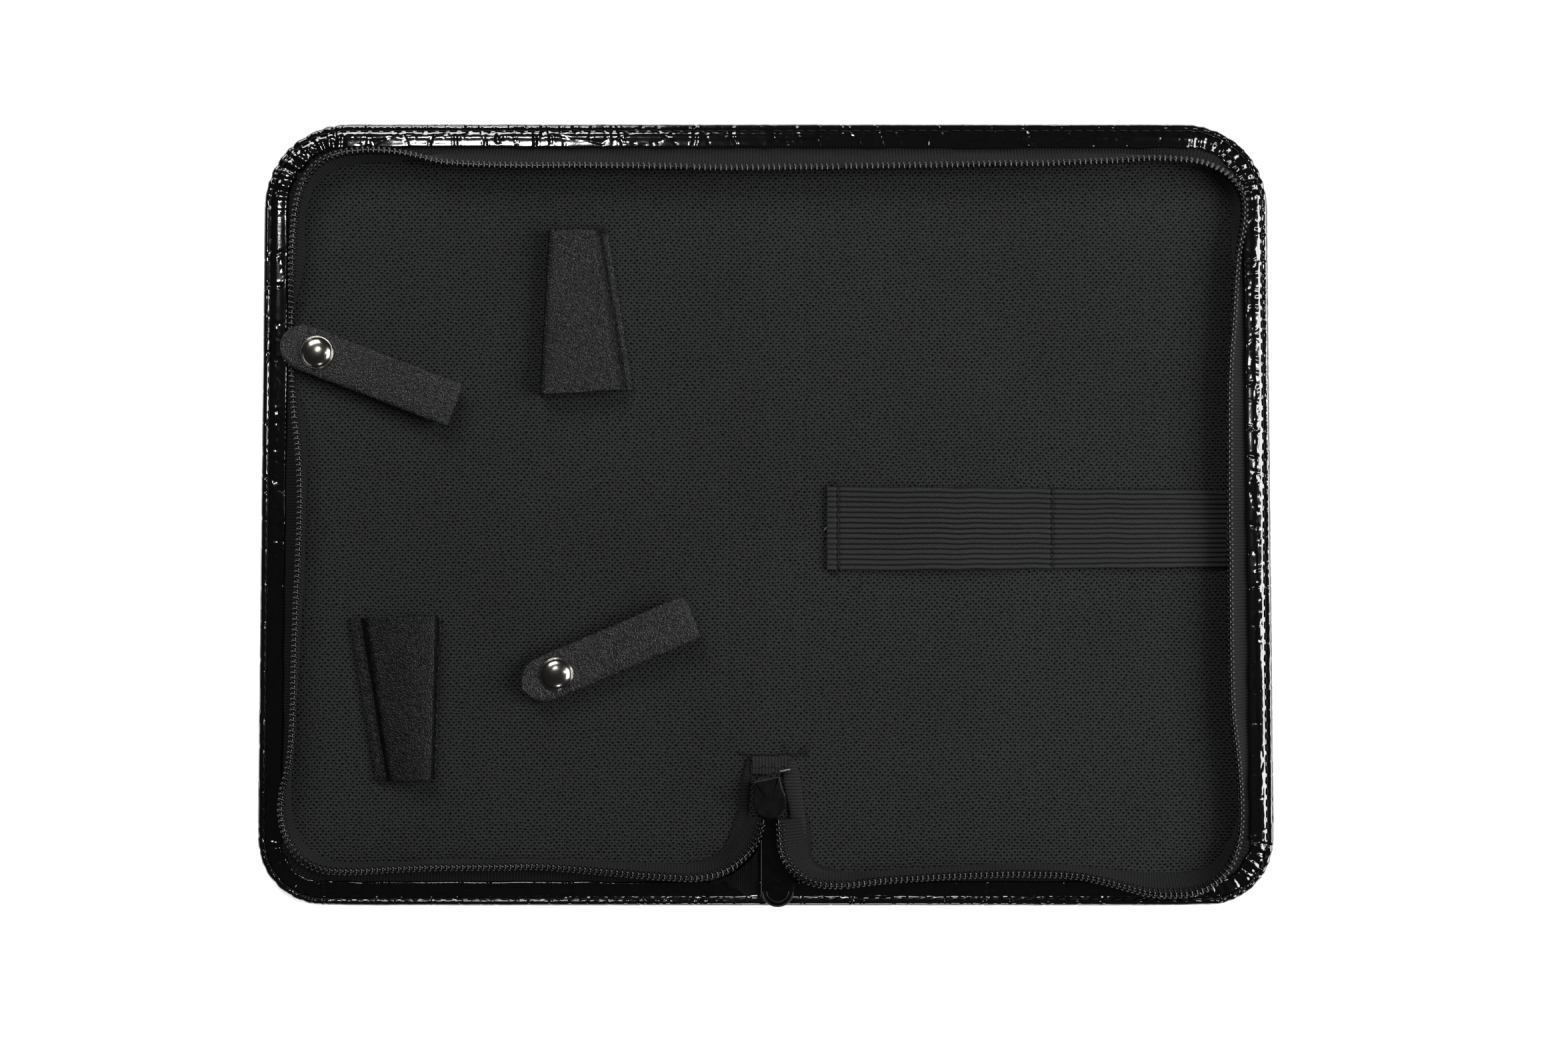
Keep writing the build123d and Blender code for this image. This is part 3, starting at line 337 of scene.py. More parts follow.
def curve_of(knots, at, param=None):
    """Smooth curve through the knots, at the given lengths."""
    k = np.asarray(knots, float)
    s = param
    m = np.zeros_like(k)
    h = np.diff(s)[:, None]
    d = np.diff(k, axis=0) / h
    m[1:-1] = (d[:-1] * h[1:] + d[1:] * h[:-1]) / (h[1:] + h[:-1])
    m[0], m[-1] = d[0], d[-1]
    i = np.clip(np.searchsorted(s, at) - 1, 0, len(s) - 2)
    hh = (s[i + 1] - s[i])[:, None]
    t = ((at - s[i]) / (s[i + 1] - s[i]))[:, None]
    t2, t3 = t * t, t * t * t
    return ((2 * t3 - 3 * t2 + 1) * k[i] + (t3 - 2 * t2 + t) * hh * m[i]
            + (3 * t2 - 2 * t3) * k[i + 1] + (t3 - t2) * hh * m[i + 1])


# ------------------------------------------------------------ finishes
class Look:
    def __init__(self, name, colour, rough, **more):
        self.m = bpy.data.materials.new(name)
        self.m.use_nodes = True
        self.t = self.m.node_tree
        self.b = self.t.nodes["Principled BSDF"]
        self.b.inputs["Base Color"].default_value = (*colour, 1)
        self.b.inputs["Roughness"].default_value = rough
        for key, value in more.items():
            self.b.inputs[key.replace("_", " ")].default_value = value
        self.chain = None

    def node(self, kind, ins=None, **props):
        n = self.t.nodes.new(kind)
        for k, v in props.items():
            setattr(n, k, v)
        for k, v in (ins or {}).items():
            s = n.inputs[k]
            if isinstance(v, bpy.types.NodeSocket):
                self.t.links.new(v, s)
            else:
                s.default_value = v
        return n

    def coords(self, scale=(1, 1, 1), rot=0.0, attr=False):
        if attr:
            src = self.node("ShaderNodeAttribute", attribute_name="sa").outputs["Vector"]
        else:
            src = self.node("ShaderNodeTexCoord").outputs["Object"]
        m = self.node("ShaderNodeMapping", {"Vector": src, "Scale": scale, "Rotation": (0, 0, rot)})
        return m.outputs["Vector"]

    def noise(self, scale, detail=3.0, rough=0.55, co=None, distort=0.0):
        return self.node("ShaderNodeTexNoise", {"Vector": co or self.coords(), "Scale": scale, "Detail": detail,
                                                "Roughness": rough, "Distortion": distort}).outputs["Fac"]

    def math(self, op, a, b=0.0, c=0.0):
        n = self.t.nodes.new("ShaderNodeMath")
        n.operation = op
        for s, v in zip(n.inputs, (a, b, c)):
            if isinstance(v, bpy.types.NodeSocket):
                self.t.links.new(v, s)
            else:
                s.default_value = v
        return n.outputs[0]

    def ramp(self, fac, lo, hi, a=0.0, b=1.0):
        n = self.t.nodes.new("ShaderNodeValToRGB")
        n.color_ramp.elements[0].position, n.color_ramp.elements[0].color = a, (*lo, 1)
        n.color_ramp.elements[1].position, n.color_ramp.elements[1].color = b, (*hi, 1)
        self.t.links.new(fac, n.inputs["Fac"])
        return n.outputs["Color"]

    def colour(self, socket):
        self.t.links.new(socket, self.b.inputs["Base Color"])

    def rough(self, fac, lo, hi):
        n = self.node("ShaderNodeMapRange", {"Value": fac, "To Min": lo, "To Max": hi})
        self.t.links.new(n.outputs["Result"], self.b.inputs["Roughness"])

    def bump(self, height, strength, mm):
        ins = {"Height": height, "Strength": strength, "Distance": mm * 0.001}
        n = self.node("ShaderNodeBump", ins)
        if self.chain is not None:
            self.t.links.new(self.chain, n.inputs["Normal"])
        self.chain = n.outputs["Normal"]
        self.t.links.new(self.chain, self.b.inputs["Normal"])
        if self.b.inputs["Coat Weight"].default_value > 0:
            self.t.links.new(self.chain, self.b.inputs["Coat Normal"])


def leather_croc():
    k = Look("croc_patent", (0.0016, 0.0016, 0.0017), 0.1, Coat_Weight=1.0, Coat_Roughness=0.035)
    at = k.node("ShaderNodeAttribute", attribute_name="sa").outputs["Vector"]
    sep = k.node("ShaderNodeSeparateXYZ", {"Vector": at})
    n1 = k.noise(300.0, 2.0, 0.5, distort=0.5)
    n2 = k.noise(2300.0, 2.0, 0.6)
    # base colour darkens along the groove mask carried in 'sa': painted shade in the scale grooves
    k.colour(k.ramp(sep.outputs["Z"], (0.0019, 0.0018, 0.0017), (0.0005, 0.0005, 0.0005)))
    k.rough(n1, 0.07, 0.16)
    k.bump(n1, 0.12, 0.12)
    k.bump(n2, 0.1, 0.04)
    return k.m


def lining_cloth():
    k = Look("lining_weave", (0.02, 0.02, 0.02), 0.9, Specular_IOR_Level=0.12)
    co = k.coords((1000, 1000, 1000))
    warp = k.node("ShaderNodeTexNoise", {"Vector": co, "Scale": 0.12, "Detail": 3.0})
    shake = k.node("ShaderNodeVectorMath", {0: warp.outputs["Color"], 1: (1.5, 1.5, 0.0)}, operation="MULTIPLY")
    co2 = k.node("ShaderNodeVectorMath", {0: co, 1: shake.outputs[0]}, operation="ADD").outputs[0]
    local = k.node("ShaderNodeTexNoise", {"Vector": co, "Scale": 0.9, "Detail": 1.0})
    shake2 = k.node("ShaderNodeVectorMath", {0: local.outputs["Color"], 1: (0.95, 0.7, 0.0)}, operation="MULTIPLY")
    co3 = k.node("ShaderNodeVectorMath", {0: co2, 1: shake2.outputs[0]}, operation="ADD").outputs[0]
    sep = k.node("ShaderNodeSeparateXYZ", {"Vector": co3})
    cx = k.math("COSINE", k.math("MULTIPLY", sep.outputs["X"], 2 * math.pi / 1.75))
    cy = k.math("COSINE", k.math("MULTIPLY", sep.outputs["Y"], 2 * math.pi / 1.86))
    row = k.math("COSINE", k.math("MULTIPLY", sep.outputs["Y"], 2 * math.pi / 0.93))
    pit = k.math("MULTIPLY", cx, cy)
    h = k.math("SUBTRACT", 1.0, k.math("MAXIMUM", k.math("MULTIPLY_ADD", pit, 1.7, -0.35), 0.0))
    h = k.math("MULTIPLY_ADD", row, -0.24, h)
    fine = k.noise(2.6, 2.0, 0.7, co)
    big = k.noise(0.016, 2.0, 0.6, co)
    a = k.math("MULTIPLY", h, k.math("MULTIPLY_ADD", fine, 2.0, -0.15))
    a = k.math("MULTIPLY", a, k.math("MULTIPLY_ADD", big, 0.6, 0.7))
    lint = k.noise(1.05, 0.0, 0.5, co)
    a = k.math("MULTIPLY_ADD", k.math("GREATER_THAN", lint, 0.872), 1.6, a)
    k.colour(k.ramp(a, (0.0006, 0.0006, 0.0006), (0.0215, 0.0222, 0.0222), 0.05, 1.4))
    k.bump(h, 0.8, 0.3)
    k.bump(fine, 0.4, 0.12)
    return k.m


def zip_cloth(name, dark, light, pitch=0.95):
    k = Look(name, dark, 0.9, Specular_IOR_Level=0.12, Sheen_Weight=0.03, Sheen_Roughness=0.5)
    at = k.node("ShaderNodeAttribute", attribute_name="sa").outputs["Vector"]
    sep = k.node("ShaderNodeSeparateXYZ", {"Vector": at})
    rib = k.math("SINE", k.math("MULTIPLY", sep.outputs["X"], 2 * math.pi / pitch))
    warp = k.math("SINE", k.math("MULTIPLY", sep.outputs["Y"], 2 * math.pi / 0.8))
    both = k.math("MULTIPLY_ADD", k.math("MULTIPLY", rib, warp), 0.34, k.math("MULTIPLY_ADD", rib, 0.2, 0.5))
    fuzz = k.noise(2600.0, 3.0, 0.7)
    mixed = k.math("MULTIPLY_ADD", fuzz, 0.7, k.math("MULTIPLY_ADD", both, 1.0, -0.35))
    k.colour(k.ramp(mixed, dark, light, 0.15, 0.85))
    k.bump(both, 0.7, 0.2)
    k.bump(fuzz, 0.5, 0.12)
    return k.m


def strap_hide(name="strap_leather", dark=(0.0011, 0.0011, 0.0012), light=(0.0102, 0.0102, 0.0105), shine=0.33):
    k = Look(name, dark, 0.42, Specular_IOR_Level=shine)
    co = k.coords()
    bend = k.node("ShaderNodeTexNoise", {"Vector": co, "Scale": 700.0, "Detail": 2.0})
    shake = k.node("ShaderNodeVectorMath", {0: bend.outputs["Color"], 1: (0.0011, 0.0011, 0.0011)}, operation="MULTIPLY")
    co2 = k.node("ShaderNodeVectorMath", {0: co, 1: shake.outputs[0]}, operation="ADD").outputs[0]
    v = k.node("ShaderNodeTexVoronoi", {"Vector": co2, "Scale": 1250.0}, feature="DISTANCE_TO_EDGE").outputs["Distance"]
    pebble = k.math("MINIMUM", k.math("MULTIPLY", v, 3.4), 1.0)
    tone = k.noise(160.0, 3.0, 0.6)
    at = k.node("ShaderNodeAttribute", attribute_name="sa").outputs["Vector"]
    sep = k.node("ShaderNodeSeparateXYZ", {"Vector": at})
    # the strap's rounded fold end is painted lighter, up to the lightest ramp stop: a painted highlight along the bend
    fold = k.math("MINIMUM", k.math("MAXIMUM", k.math("MULTIPLY_ADD", sep.outputs["X"], 1.8, -82.2), 0.0), 1.0)
    fold = k.math("MULTIPLY", fold, k.math("MULTIPLY_ADD", tone, 0.9, 0.1))
    base = k.math("MINIMUM", k.math("MULTIPLY", pebble, k.math("MULTIPLY_ADD", tone, 1.3, 0.1)), 0.86)
    c = k.ramp(k.math("MULTIPLY_ADD", fold, 0.5, base), dark, light, 0.1, 0.87)
    c.node.color_ramp.elements.new(1.0).color = (0.034, 0.033, 0.031, 1)
    k.colour(c)
    k.rough(tone, 0.34, 0.5)
    k.bump(pebble, 0.7, 0.2)
    k.bump(tone, 0.15, 0.3)
    return k.m


def metal(name, colour, rough, scratch=0.06):
    k = Look(name, colour, rough, Metallic=1.0)
    if scratch:
        n = k.noise(260.0, 3.0, 0.6)
        k.rough(n, rough - 0.03, rough + 0.05)
        k.bump(n, scratch, 0.02)
    return k.m


def lacquer(name, colour, rough, wear_and_highlight=None):
    k = Look(name, colour, rough, Specular_IOR_Level=0.5)
    n = k.noise(300.0, 4.0, 0.65)
    fine = k.noise(2400.0, 2.0, 0.6)
    # the lighter end of the ramp: mottled wear on the plain lacquers, a painted highlight in the edge material
    k.colour(k.ramp(n, colour, wear_and_highlight or tuple(c * 2.2 for c in colour), 0.35, 0.8))
    k.rough(n, rough - 0.06, rough + 0.12)
    k.bump(fine, 0.12, 0.05)
    return k.m


def band_knit():
    k = Look("elastic_knit", (0.016, 0.016, 0.016), 0.8, Specular_IOR_Level=0.12, Sheen_Weight=0.02)
    at = k.node("ShaderNodeAttribute", attribute_name="sa").outputs["Vector"]
    sep = k.node("ShaderNodeSeparateXYZ", {"Vector": at})
    ph = k.math("MULTIPLY_ADD", sep.outputs["Y"], 2 * math.pi / 1.3, k.math("MULTIPLY", sep.outputs["X"], 2 * math.pi / 0.72))
    st = k.math("SINE", ph)
    fuzz = k.noise(2100.0, 3.0, 0.65)
    h = k.math("MULTIPLY_ADD", st, 0.3, fuzz)
    # colour lighter on the rib crests and darker in the valleys between them: painted shade, with a random tone for
    # each rib
    tone = k.math("MULTIPLY_ADD", h, 0.55, k.math("MULTIPLY", sep.outputs["Z"], 0.62))
    k.colour(k.ramp(tone, (0.0004, 0.0004, 0.0004), (0.029, 0.029, 0.029), 0.38, 1.15))
    k.bump(h, 0.65, 0.16)
    return k.m


def thread_look(name, colour, rough=0.55):
    k = Look(name, colour, rough, Specular_IOR_Level=0.22)
    w = k.noise(3800.0, 2.0, 0.5)
    k.colour(k.ramp(w, tuple(c * 0.5 for c in colour), tuple(min(c * 1.6, 1) for c in colour)))
    k.bump(w, 0.3, 0.05)
    return k.m


def coil_look():
    k = Look("zip_nylon", (0.0011, 0.0011, 0.0011), 0.2, Specular_IOR_Level=0.5)
    w = k.noise(900.0, 2.0, 0.5)
    k.rough(w, 0.14, 0.24)
    return k.m


def board_look(name, a, b):
    k = Look(name, a, 0.9)
    n = k.noise(900.0, 4.0, 0.7)
    k.colour(k.ramp(n, a, b))
    k.bump(n, 0.4, 0.2)
    return k.m


def diamond_cloth():
    k = Look("gusset_weave", (0.01, 0.01, 0.01), 0.75, Specular_IOR_Level=0.08)
    co = k.coords((1000, 1000, 1000), math.radians(45))
    sep = k.node("ShaderNodeSeparateXYZ", {"Vector": co})
    u = k.math("SINE", k.math("MULTIPLY", sep.outputs["X"], 2 * math.pi / 0.95))
    v = k.math("SINE", k.math("MULTIPLY", sep.outputs["Y"], 2 * math.pi / 0.95))
    h = k.math("MULTIPLY_ADD", k.math("MULTIPLY", u, v), 0.5, 0.5)
    k.colour(k.ramp(h, (0.0006, 0.0006, 0.0006), (0.0045, 0.0045, 0.0045), 0.2, 0.95))
    k.bump(h, 0.7, 0.2)
    return k.m


CROC = leather_croc()
LINING = lining_cloth()
TAPE = zip_cloth("zip_tape_weave", (0.0004, 0.0004, 0.0004), (0.0165, 0.0165, 0.0165), 1.0)
TAPE_END = zip_cloth("zip_tape_end", (0.0010, 0.0010, 0.0010), (0.027, 0.027, 0.0265), 1.0)
COIL = coil_look()
HIDE = strap_hide()
HIDE_POCKET = strap_hide("pocket_leather", (0.0009, 0.0009, 0.0010), (0.0072, 0.0072, 0.0074), 0.24)
CHROME = metal("snap_nickel", (0.34, 0.32, 0.285), 0.19, 0.0)
RIVET = metal("rivet_brass", (0.62, 0.48, 0.25), 0.25, 0.15)
LACQUER = lacquer("slider_black", (0.0011, 0.0011, 0.0012), 0.24)
# lighter lacquer for edges that catch the light: a painted highlight
EDGE = lacquer("edge_highlight", (0.006, 0.006, 0.006), 0.4, (0.022, 0.022, 0.022))
GLOSS = lacquer("pull_gloss", (0.0010, 0.0010, 0.0011), 0.14)
KNIT = band_knit()
BLACK_THREAD = thread_look("black_thread", (0.003, 0.003, 0.003), 0.68)
GREY_THREAD = thread_look("grey_thread", (0.018, 0.018, 0.018), 0.6)
PALE_THREAD = thread_look("pale_thread", (0.22, 0.21, 0.19), 0.7)
BOARD = board_look("grey_board", (0.10, 0.095, 0.085), (0.22, 0.21, 0.19))
FOAM = board_look("black_foam", (0.008, 0.008, 0.008), (0.03, 0.03, 0.03))
DIAMOND = diamond_cloth()


# ------------------------------------------------------------ outline
def outline(side, step):
    """Half the outline from the bottom middle round to the top middle, with outward directions and length."""
    key = [(0, -HALF_HEIGHT), (BOTTOM_HALF_WIDTH, -HALF_HEIGHT), (TOP_HALF_WIDTH, HALF_HEIGHT), (0, HALF_HEIGHT)]
    pts = [key[0]]
    for i, r in ((1, BOTTOM_CORNER_R), (2, TOP_CORNER_R)):
        p = np.array(key[i], float)
        a = np.array(key[i - 1], float) - p
        b = np.array(key[i + 1], float) - p
        a /= np.linalg.norm(a)
        b /= np.linalg.norm(b)
        half = math.acos(float(a @ b)) / 2
        mid = (a + b) / np.linalg.norm(a + b)
        centre = p + mid * r / math.sin(half)
        t0, t1 = p + a * r / math.tan(half), p + b * r / math.tan(half)
        a0 = math.atan2(*(t0 - centre)[::-1])
        a1 = math.atan2(*(t1 - centre)[::-1])
        for k in range(61):
            t = a0 + (a1 - a0) * k / 60
            pts.append((centre[0] + r * math.cos(t), centre[1] + r * math.sin(t)))
    pts.append(key[3])
    p = np.array(pts)
    s = np.concatenate([[0], np.cumsum(np.linalg.norm(np.diff(p, axis=0), axis=1))])
    n = int(s[-1] / step)
    at = np.linspace(0, s[-1], n + 1)
    x, y = np.interp(at, s, p[:, 0]), np.interp(at, s, p[:, 1])
    tx, ty = np.gradient(x), np.gradient(y)
    length = np.hypot(tx, ty)
    nx, ny = ty / length, -tx / length
    if side < 0:
        x, nx = -x, -nx
    return x, y, nx, ny, at


def inset_half_width(y, inset):
    """Half width of the outline drawn in by inset, at each y."""
    x, yy, nx, ny, _ = outline(1, 0.8)
    px, py = x - nx * inset, yy - ny * inset
    keep = (np.abs(ny) < 0.9995) | (px > 0.8 * px.max())
    px, py = px[keep], py[keep]
    order = np.argsort(py)
    return np.interp(y, py[order], px[order])


SECTION = [(8.0, 4.15), (8.05, 4.5), (7.9, 4.85), (7.55, 4.98), (7.1, 5.0), (6.6, 4.99), (6.1, 4.98), (5.6, 4.99),
           (5.2, 5.02), (4.8, 5.05), (4.4, 5.06), (4.0, 5.03), (3.6, 4.97), (3.25, 4.88), (2.95, 4.75), (2.72, 4.6),
           (2.5, 4.52), (2.3, 4.58), (2.1, 4.72), (1.85, 4.81), (1.55, 4.85), (1.25, 4.83), (0.95, 4.74), (0.68, 4.54),
           (0.42, 4.2), (0.2, 3.65), (0.07, 3.1), (0.0, 2.5), (0.02, 1.9), (0.12, 1.3), (0.35, 0.75), (0.7, 0.33),
           (1.15, 0.09), (1.6, 0.0), (2.1, 0.0), (2.6, 0.12)]


def under(x, y):
    """Height of the underside's scales."""
    w = 1 + 0.35 * noise(x / 60, y / 60, 5)
    gap, own = scales(x / 11.5 / w + 0.4 * noise(x / 30, y / 30, 6), y / 9.0 / w + 0.4 * noise(x / 30, y / 30, 7), 9)
    groove = 1 - sstep(gap / 0.13)
    return 0.05 * own + 0.32 * groove + 0.03 * noise(x / 1.8, y / 1.8, 12), groove


def crinkles(side, s, x, y):
    """Random creases across the rim: centre, depth, width, slant, and how far in they reach."""
    out = []
    total = s[-1]
    at = 3.0
    while at < total - 2:
        px, py = np.interp(at, s, x), np.interp(at, s, y)
        corner = abs(px) > 132 and abs(py) > 98
        top = py > 118 and not corner
        left_side = side < 0 and abs(px) > 150 and not corner
        bottom = py < -118 and not corner
        gap = 2.6 if corner else (3.0 if px < -40 else 13.0) if top else 11.0 if left_side else 8.0 if bottom else 6.0
        depth = 0.26 if corner else 0.2 if top else 0.17
        if top and 8 < px < 23:
            gap, depth = 2.2, 0.34
        out.append((at, depth * rng.uniform(0.4, 1.25), rng.uniform(0.22, 0.5) * (1.5 if corner else 1.0),
                    rng.uniform(-0.35, 0.35), rng.uniform(-3, 5), rng.uniform(6, 14)))
        at += gap * rng.uniform(0.45, 1.6)
    return out


def cover(side):
    x, y, nx, ny, s = outline(side, 0.55)
    sec = np.array(SECTION)
    run = np.concatenate([[0], np.cumsum(np.hypot(np.diff(sec[:, 0]), np.diff(sec[:, 1])))])
    td, tz = np.gradient(sec[:, 0]), np.gradient(sec[:, 1])
    length = np.hypot(td, tz)
    no, nz = tz / length, td / length          # outward part, and its negative gives up
    no, nz = np.where(no * 0 + 1 > 0, -tz / length, no), -td / length
    S, A = np.meshgrid(s, run, indexing="ij")
    D = np.broadcast_to(sec[:, 0], S.shape)
    Z = np.broadcast_to(sec[:, 1], S.shape)
    X = x[:, None] - nx[:, None] * D
    Y = y[:, None] - ny[:, None] * D
    corner = sstep((np.abs(x) - 128) / 12) * sstep((np.abs(y) - 94) / 12)
    ends = sstep(s / 2.5) * sstep((s[-1] - s) / 2.5)
    gap, own = scales(S / 10.5 + 0.25 * noise(S / 25, A / 8, 3 + side), A / 6.6 + 0.3 * noise(S / 18, A / 9, 4 + side) + 0.45,
                      20 + side)
    groove = 1 - sstep(gap / 0.055)
    disp = -0.15 * groove - 0.07 * own
    right = 0.75 if side > 0 else 0.03
    where = np.clip(right * sstep((np.abs(x) - 140) / 12) + 0.35 * sstep((-y - 116) / 3) + 0.3 * sstep((y - 116) / 3) + np.where(y > 0, 0.25, 0.06) * corner, 0, 1.2)
    small, own2 = scales(S / 2.9 + 0.5 * noise(S / 6, A / 3, 41), A / 2.3 + 0.5 * noise(S / 5, A / 3, 42), 44 + side)
    crest = sstep((A - 4.1) / 0.5) * (1 - sstep((A - 8.7) / 1.2))
    disp -= where[:, None] * crest * (0.13 * (1 - sstep(small / 0.22)) + 0.07 * own2)
    for c, depth, width, slant, a0, a1 in crinkles(side, s, x, y):
        i0, i1 = np.searchsorted(s, [c - 6, c + 6])
        d = (S[i0:i1] - c - slant * (A[i0:i1] - 5) - 0.35 * noise(A[i0:i1] / 1.7, A[i0:i1] * 0 + c, 2))
        reach = sstep((A[i0:i1] - a0) / 2.0) * sstep((a1 - A[i0:i1]) / 2.0)
        disp[i0:i1] -= depth * np.exp(-(d / width) ** 2) * reach
        disp[i0:i1] += 0.35 * depth * np.exp(-((np.abs(d) - 1.7 * width) / width) ** 2) * reach
    hem = 1 - sstep((A - 9.5) / 3.0)
    disp += 0.012 * noise(S / 2.6, A / 2.8, 14 + side)
    disp += hem * 0.03 * noise(S / 6.5, A / 6.0, 16 + side)
    pleat = np.sin(S * 2 * math.pi / 4.3 + 2.2 * noise(S / 6, A / 9, 17)) + 0.6 * noise(S / 1.5, A / 6, 18)
    disp += corner[:, None] * hem * (np.where(y > 0, 0.13, 0.055)[:, None] * pleat - 0.10)
    disp *= 1 - 0.75 * sstep((A - 10.6) / 1.6)
    disp *= ends[:, None]
    low = sstep((A - run[-4]) / (run[-1] - run[-4]))
    disp = disp * (1 - low)
    # the edge of the hem wanders a little, and the corner's outline is faceted
    D2 = D + (0.22 * noise(S / 7.0, S * 0, 31) + corner[:, None] * 0.6 * noise(S / 3.2, S * 0, 32)) * (1 - sstep(A / 5)) * ends[:, None]
    facet = corner * (0.14 * np.abs(np.sin(s * math.pi / 5.6)) - 0.20 + 0.05 * noise(s / 3.1, s * 0, 33))
    X = x[:, None] + nx[:, None] * (-D2 + disp * no + facet[:, None])
    Y = y[:, None] + ny[:, None] * (-D2 + disp * no + facet[:, None])
    h, g = under(X, Y)
    Z2 = Z + disp * nz + low * h
    Z2 = np.maximum(Z2, 0.02)
    P = np.stack([X, Y, Z2], -1)
    # the third number is the groove mask, which the croc shader uses to paint shade into the grooves
    att = np.stack([S, A, np.maximum(groove, g * low)], -1)
    f = grid(len(s), len(run))
    if side < 0:
        f = f[:, ::-1]
    ring = (P.reshape(-1, 3), f, att.reshape(-1, 3))
    inset = 2.0
    ys = np.linspace(-HALF_HEIGHT + inset, HALF_HEIGHT - inset, 215)
    w = inset_half_width(ys, inset)
    t = np.linspace(0, 1, 138)
    PX = side * w[:, None] * t[None]
    PY = np.broadcast_to(ys[:, None], PX.shape)
    h, g = under(PX, PY)
    PZ = np.maximum(h, 0.0) + 0.02
    f = grid(len(ys), len(t))
    if side > 0:
        f = f[:, ::-1]
    f = f[:, ::-1]
    panel = (np.stack([PX, PY, PZ], -1).reshape(-1, 3), f, np.stack([PX, PY, g], -1).reshape(-1, 3))
    return join([ring, panel])


def bend(ob, side, start, end):
    """Bakes the piece's transform into its mesh. start and end, distances from the middle in millimetres, are not used.
    """
    if side < 0:
        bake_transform(ob)
    else:
        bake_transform(ob)


SIDE_NAME = {-1: "left", 1: "right"}
HALF = {-1: "left_half", 1: "right_half"}
for side in (-1, 1):
    v, f, a = cover(side)
    ob = make(f"cover_{SIDE_NAME[side]}", v, f, CROC, a)
    bend(ob, side, 15.0, 9.0)
    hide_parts(*(["left_cover", "spine_cover", "spine_hems"] if side < 0 else ["right_cover"]))

    # top stitches in the groove of the rim
    x, y, nx, ny, s = outline(side, 0.55)
    at = np.arange(1.75, s[-1] - 1.5, 3.5)
    at = at + rng.uniform(-0.12, 0.12, len(at))
    k = np.linspace(-1, 1, 7)
    pos = at[:, None] + 1.35 * k[None]
    d = 2.5 + 0.06 * rng.standard_normal((len(at), 1))
    px = np.interp(pos, s, x) - np.interp(pos, s, nx) * d
    py = np.interp(pos, s, y) - np.interp(pos, s, ny) * d
    pz = 4.62 + 0.14 * (1 - k ** 4)[None] - 0.3 * (np.abs(k) ** 8)[None] + 0 * px
    v, f = tubes(np.stack([px, py, pz], -1), 0.23 * np.sqrt(np.clip(1.02 - k ** 6, 0.02, 1))[None] + 0 * px)
    ob = make(f"rim_stitches_{SIDE_NAME[side]}", v, f, BLACK_THREAD)
    bend(ob, side, 15.0, 9.0)

# ------------------------------------------------------------ lining
for side in (-1, 1):
    inset = 6.4
    ys = np.linspace(-HALF_HEIGHT + inset, HALF_HEIGHT - inset, 200)
    w = inset_half_width(ys, inset)
    # columns are spaced evenly across the half
    t = np.linspace(0, 1, 170)
    LX = w[:, None] * t[None]
    LY = np.broadcast_to(ys[:, None], LX.shape)
    crease = 0.16 * np.exp(-((LX - 11.8 - 0.25 * noise(LY / 30, LY * 0, 51)) / 0.8) ** 2)
    wave = 0.10 * (0.5 + 0.5 * noise(LX / 17 + 9 * side, LY / 14, 52)) + 0.05 * (0.5 + 0.5 * noise(LX / 5 + 9 * side, LY / 6, 53))
    LZ = LINING_TOP - crease - wave * sstep((w[:, None] - LX) / 6) * sstep(LX / 3)
    f = grid(len(ys), len(t))
    if side < 0:
        f = f[:, ::-1]
    P = np.stack([side * LX, LY, LZ], -1)
    ob = make(f"lining_{SIDE_NAME[side]}", P, f, LINING, np.stack([side * LX, LY, LZ], -1))
    area = float(np.trapezoid(w, ys)) if hasattr(np, "trapezoid") else float(np.trapz(w, ys))
    bend(ob, side, 15.0, 9.0)
    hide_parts(*(["left_lining", "spine_lining"] if side < 0 else ["right_lining"]))


# ------------------------------------------------------------ zip
def left_top(x, y):
    k = sstep((y - 29.0) / 13.0) * (1 - sstep((y - 65.0) / 13.0))
    return WALL_TOP + (DIP_TOP - WALL_TOP) * k * (x < -140)


def zip_run(path, tops, step=0.7, ramp=False):
    a = np.column_stack([np.asarray(path, float), tops])
    if ramp:
        b, t = a[:, 2:4], a[:, 4:6]
        u = (b - t) / np.linalg.norm(b - t, axis=1, keepdims=True)
        a[:, 0:2] = b + (0.15 + 1.15 * sstep(np.arange(len(a)) / 3.0))[:, None] * u
    s = np.concatenate([[0], np.cumsum(np.hypot(np.diff(a[:, 4]), np.diff(a[:, 5])))])
    n = max(int(s[-1] / step), 4)
    at = np.linspace(0, s[-1], n + 1)
    return curve_of(a, at, s), at, a, s


def zip_tape(run, at, seed, z_foot=3.88, s0=0.0):
    F, B, T, top = run[:, 0:2], run[:, 2:4], run[:, 4:6], run[:, 6]
    bulge = (0.35 * noise(at / 9.0, at * 0, seed) + 0.15) * sstep((at - at[0]) / 5) * sstep((at[-1] - at) / 5)
    pts = []
    L = np.linalg.norm(F - B, axis=1)
    out = (F - B) / np.maximum(L, 1e-6)[:, None]

    def put(xy, z, a):
        pts.append((xy, z, a))

    put(F, np.full(len(at), z_foot), -L)
    put(B + (F - B) * 0.6, np.full(len(at), z_foot), -0.6 * L)
    put(B + (F - B) * 0.25, np.full(len(at), z_foot), -0.25 * L)
    put(B + (F - B) * 0.08, z_foot + 0.08 + 0 * top, -0.08 * L)
    h = np.linalg.norm(np.column_stack([T - B, top - z_foot]), axis=1)
    for q in (0.06, 0.14, 0.25, 0.38, 0.52, 0.66, 0.8, 0.92, 1.0):
        lift = z_foot + (top + 0.15 - z_foot) * q
        side = bulge * math.sin(math.pi * q)
        put(B + (T - B) * q + out * side[:, None], lift, q * h)
    P = np.stack([np.column_stack([xy, z]) for xy, z, _ in pts], 1)
    att = np.stack([np.column_stack([at + s0, a, 0 * at]) for _, _, a in pts], 1)
    return shell(P, 0.45, att)


